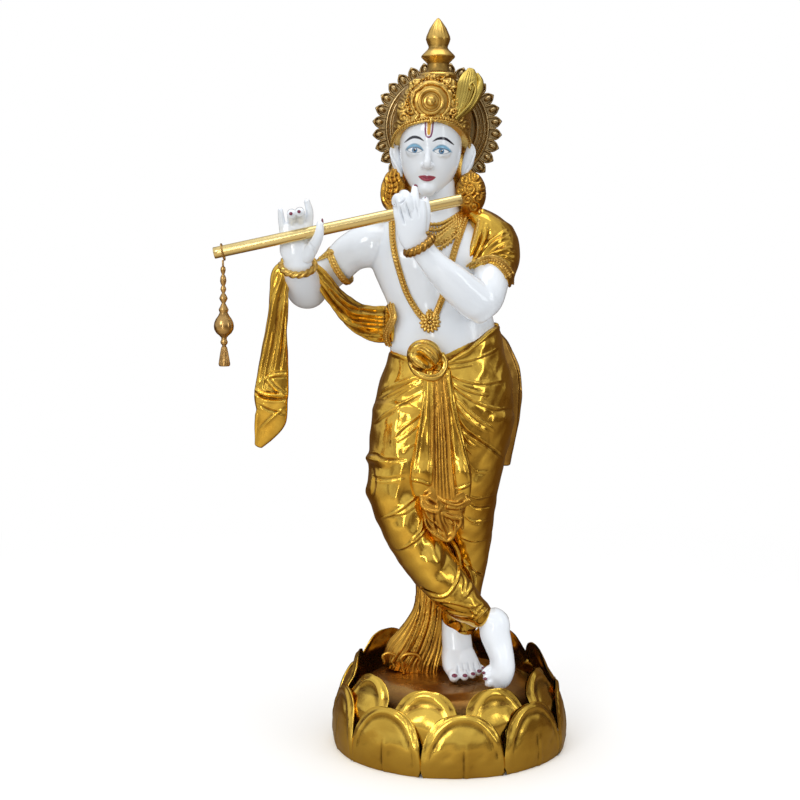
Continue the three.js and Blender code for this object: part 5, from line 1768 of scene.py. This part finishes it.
def petal(turn, profile, height, width, wall, crease):
    """A round-topped petal, widest at the ground: a rolled lip, a hollow under it and a full belly."""
    def place(u, v):
        # u runs over the front face and back over the inner face, v from the ground to the tip
        front = u <= 0.5
        side = np.where(front, 4 * u - 1, 3 - 4 * u)
        climb = v * math.pi / 2
        rise = np.sin(climb) ** 0.86
        half = width / 2 * np.maximum(np.cos(climb), 0) ** 0.72 * (1 - 0.07 * ease(0.14, 0.0, rise))
        lean = np.interp(rise, *np.array(profile).T)
        spread = np.sqrt(np.clip((side * half * 2 / width) ** 2 + rise ** 2, 0, 1))
        high = ease(0.15, 0.6, rise)
        lip = (2.0 * bump(spread - 0.94, 0.045) - 1.8 * high * bump(spread - 0.85, 0.05)
               - 3 * ease(0.96, 1.0, spread))
        x = side * half
        groove = (-crease * bump(x + 2, 2.0) * ease(0.60, 0.42, rise)
                  + 0.4 * crease * bump(x - 5, 5) * ease(0.6, 0.4, rise))
        inside = (-wall + 3 * bump(spread - 0.9, 0.1) + 0.5 * wall * ease(0.86, 1.0, spread)
                  - 3 * bump(spread, 0.5))
        out = lean + np.where(front, lip + groove, inside)
        return np.stack([x, x * x / (2.2 * out) - out, height * rise], axis=1)

    form = sheet(place, 64, 30)
    placed = Matrix.Diagonal((1, DEPTH_SHARE, 1, 1)) @ Matrix.Rotation(math.radians(turn), 4, "Z")
    bmesh.ops.transform(form, matrix=placed, verts=form.verts)
    return form


def make_petals():
    """Two rows of petals, taller towards the back, the inner ones between the outer ones."""
    outer = []
    inner = []
    for i in range(PETAL_COUNT):
        turn = PETAL_TURN + 360 * i / PETAL_COUNT
        back = (1 - math.cos(math.radians(turn))) / 2
        outer.append(petal(turn, OUTER_PROFILE, 124 + 28 * back, 174 + 10 * back, 17, 4.5))
        turn += 180 / PETAL_COUNT
        if i == PETAL_COUNT // 2:
            turn += BACK_TURN
        back = (1 - math.cos(math.radians(turn))) / 2
        inner.append(petal(turn, INNER_PROFILE, 161 + 53 * back, 168 + 26 * back, 14, 0))
    for name, forms in (("lotus_outer_petals", outer), ("lotus_inner_petals", inner)):
        done(cast(name, forms), "lotus_base", "lotus_brass", LOTUS, reach=5, depth=1.6, swells=1.0)


def make_ground():
    """The domed ground inside the petals, with slight waves, and the skirt that carries it."""
    def deck(u, v):
        r = DECK_R * v
        turn = TURN * u
        height = np.interp(r, [0, 112, 142, 166, 190, 210, DECK_R], [146, 146, 143, 135, 120, 96, 50])
        height = height + 1.6 * np.sin(DECK_WAVES * turn + r / 31) * np.sin(r / 26) * ease(20, 90, r)
        return np.stack([r * np.cos(turn), r * np.sin(turn) * DEPTH_SHARE, height], axis=1)

    ground = sheet(deck, 120, 60)
    skirt = turned([[DECK_R, 40], [228, 30], [228, 0], [0, 0]], (0, 0, 0), 72)
    bmesh.ops.scale(skirt, vec=(1, DEPTH_SHARE, 1), verts=skirt.verts)
    piece = cast("lotus_ground", [ground, skirt])
    done(piece, "lotus_base", "lotus_brass", GROUND, reach=6, depth=2.0)
    # Painted shade: the ground counts as ever deeper hollow towards its rim, so it darkens where the petals
    # stand over it
    corners = corners_of(piece)
    keep(piece, "hollow", 0.8 * ease(150, 205, np.hypot(corners[:, 0], corners[:, 1] / DEPTH_SHARE)))


# The studio

# What the metal mirrors, from the brown ground to the lit ceiling
ROOM_LOW = (0.16, 0.10, 0.05, 1)
ROOM_HIGH = (0.85, 0.87, 0.92, 1)
ROOM_WALLS = ((0.38, (0.13, 0.085, 0.05, 1)), (0.55, (0.27, 0.23, 0.19, 1)), (0.66, (0.60, 0.60, 0.60, 1)))
# name, place, what it is aimed at, size, power and colour
LAMPS = (
    ("key", (-1.8, -2.4, 2.3), (0, 0, 0.8), (0.9, 1.2), 16, (1, 0.99, 0.97)),
    ("window", (-0.9, -3.1, 1.2), (0, 0, 0.7), (0.30, 2.0), 9, (1, 1, 1)),
    ("fill", (2.3, -1.6, 1.5), (0, 0, 0.8), (0.4, 1.6), 5, (0.95, 0.98, 1)),
    ("top", (0.0, -0.3, 3.2), (0, 0, 0.5), (1.8, 1.2), 12, (1, 1, 1)),
)


def make_camera():
    scene = bpy.context.scene
    camera = bpy.data.objects.new("camera", bpy.data.cameras.new("camera"))
    camera.location = Vector(EYE) * MM
    camera.rotation_euler = (math.radians(90 - EYE_PITCH), 0, 0)
    camera.data.lens = LENS
    camera.data.sensor_width = 36
    camera.data.clip_end = CAMERA_FAR
    scene.collection.objects.link(camera)
    scene.camera = camera
    scene.view_settings.view_transform = "Standard"


def make_floor():
    """Pale paper that turns plain white away from the figure; to what mirrors it, it is brown, with painted
    light in front and painted shade behind and to the right.
    """
    floor = bmesh.new()
    bmesh.ops.create_grid(floor, x_segments=1, y_segments=1, size=FLOOR_SIZE)
    bmesh.ops.translate(floor, vec=(0, 0, FLOOR_DROP), verts=floor.verts)
    mesh = bpy.data.meshes.new("floor")
    floor.to_mesh(mesh)
    floor.free()
    paper = bpy.data.materials.new("studio paper")
    paper.use_nodes = True
    tree = paper.node_tree
    shader = tree.nodes["Principled BSDF"]
    place = wire(tree, "ShaderNodeTexCoord").outputs["Object"]
    spot = wire(tree, "ShaderNodeSeparateXYZ", Vector=place).outputs
    # Painted light and shade, seen only in reflections: lighter in front, darker behind and to the right
    lit = calculated(tree, "MULTIPLY", ramped(tree, spot["Y"], 0.4, -0.9),
                     ramped(tree, spot["X"], 1.6, -0.4, 0.3, 1.0))
    ground = mixed(tree, lit, (0.11, 0.065, 0.03, 1), (0.60, 0.54, 0.44, 1))
    reach = wire(tree, "ShaderNodeVectorMath", operation="LENGTH", _0=place).outputs["Value"]
    far = ramped(tree, reach, *FLOOR_FADE)
    path = wire(tree, "ShaderNodeLightPath").outputs
    seen = mixed(tree, far, (0.93, 0.93, 0.93, 1), (0, 0, 0, 1))
    tree.links.new(mixed(tree, path["Is Glossy Ray"], seen, ground), shader.inputs["Base Color"])
    shader.inputs["Roughness"].default_value = 0.9
    shader.inputs["Specular IOR Level"].default_value = 0.0
    shader.inputs["Emission Color"].default_value = (1, 1, 1, 1)
    tree.links.new(calculated(tree, "MULTIPLY", far, path["Is Camera Ray"]),
                   shader.inputs["Emission Strength"])
    mesh.materials.append(paper)
    placed("floor", mesh)


def make_world():
    """White to the camera; to the metal a lit ceiling over dark, patchy walls and a brown ground."""
    world = bpy.data.worlds.new("studio")
    world.use_nodes = True
    bpy.context.scene.world = world
    tree = world.node_tree
    aim = wire(tree, "ShaderNodeTexCoord").outputs["Generated"]
    along = wire(tree, "ShaderNodeSeparateXYZ", Vector=aim).outputs
    behind = calculated(tree, "MULTIPLY", calculated(tree, "MAXIMUM", along["Y"], 0.0), -0.6)
    ahead = calculated(tree, "MULTIPLY", calculated(tree, "MINIMUM", along["Y"], 0.0), -0.10)
    leaning = calculated(tree, "ADD", behind, calculated(tree, "MULTIPLY", along["X"], -0.28))
    leaning = calculated(tree, "ADD", leaning, ahead)
    height = calculated(tree, "ADD", along["Z"], leaning)
    patches = noise(tree, aim, 2.3, 2.0)
    shifted = calculated(tree, "ADD", height, ramped(tree, patches, 0.3, 0.7, -0.42, 0.42))
    ramp = tree.nodes.new("ShaderNodeValToRGB")
    tree.links.new(ramped(tree, shifted, -1.0, 1.0), ramp.inputs[0])
    stops = ramp.color_ramp.elements
    stops[0].color = ROOM_LOW
    stops[1].color = ROOM_HIGH
    for position, colour in ROOM_WALLS:
        stops.new(position).color = colour
    mirrored = wire(tree, "ShaderNodeLightPath").outputs["Is Glossy Ray"]
    tree.links.new(mixed(tree, mirrored, (1, 1, 1, 1), ramp.outputs[0]),
                   tree.nodes["Background"].inputs["Color"])


def make_lamps():
    for name, place, aim_at, size, power, colour in LAMPS:
        lamp = bpy.data.lights.new(name, "AREA")
        lamp.shape = "RECTANGLE"
        lamp.size, lamp.size_y = size
        lamp.energy = power
        lamp.color = colour
        light = bpy.data.objects.new(name, lamp)
        light.location = place
        light.rotation_euler = (Vector(aim_at) - Vector(place)).to_track_quat("-Z", "Y").to_euler()
        bpy.context.scene.collection.objects.link(light)


make_camera()
make_floor()
make_world()
make_lamps()
body = make_body()
make_right_hand()
make_left_hand()
make_feet()
make_nails()
make_head()
make_ears()
crown = make_crown()
make_crown_jewels(crown)
on_figure(crown, ORNAMENT, reach=5, depth=1.4, share=0.45)
make_band()
make_feather()
make_finial()
make_side_lock()
make_side_knot()
make_back_hair()
make_waistcloth()
make_pleats()
make_ruffles()
make_knot()
make_scarf_tail()
make_scarf_swag()
make_swag_hem()
make_shawl()
make_back_drop()
make_trailing_cloth()
make_necklaces(body)
make_pendant(body)
make_collar(body)
make_arm_rings()
make_halo()
make_flute()
make_tassel()
make_petals()
make_ground()
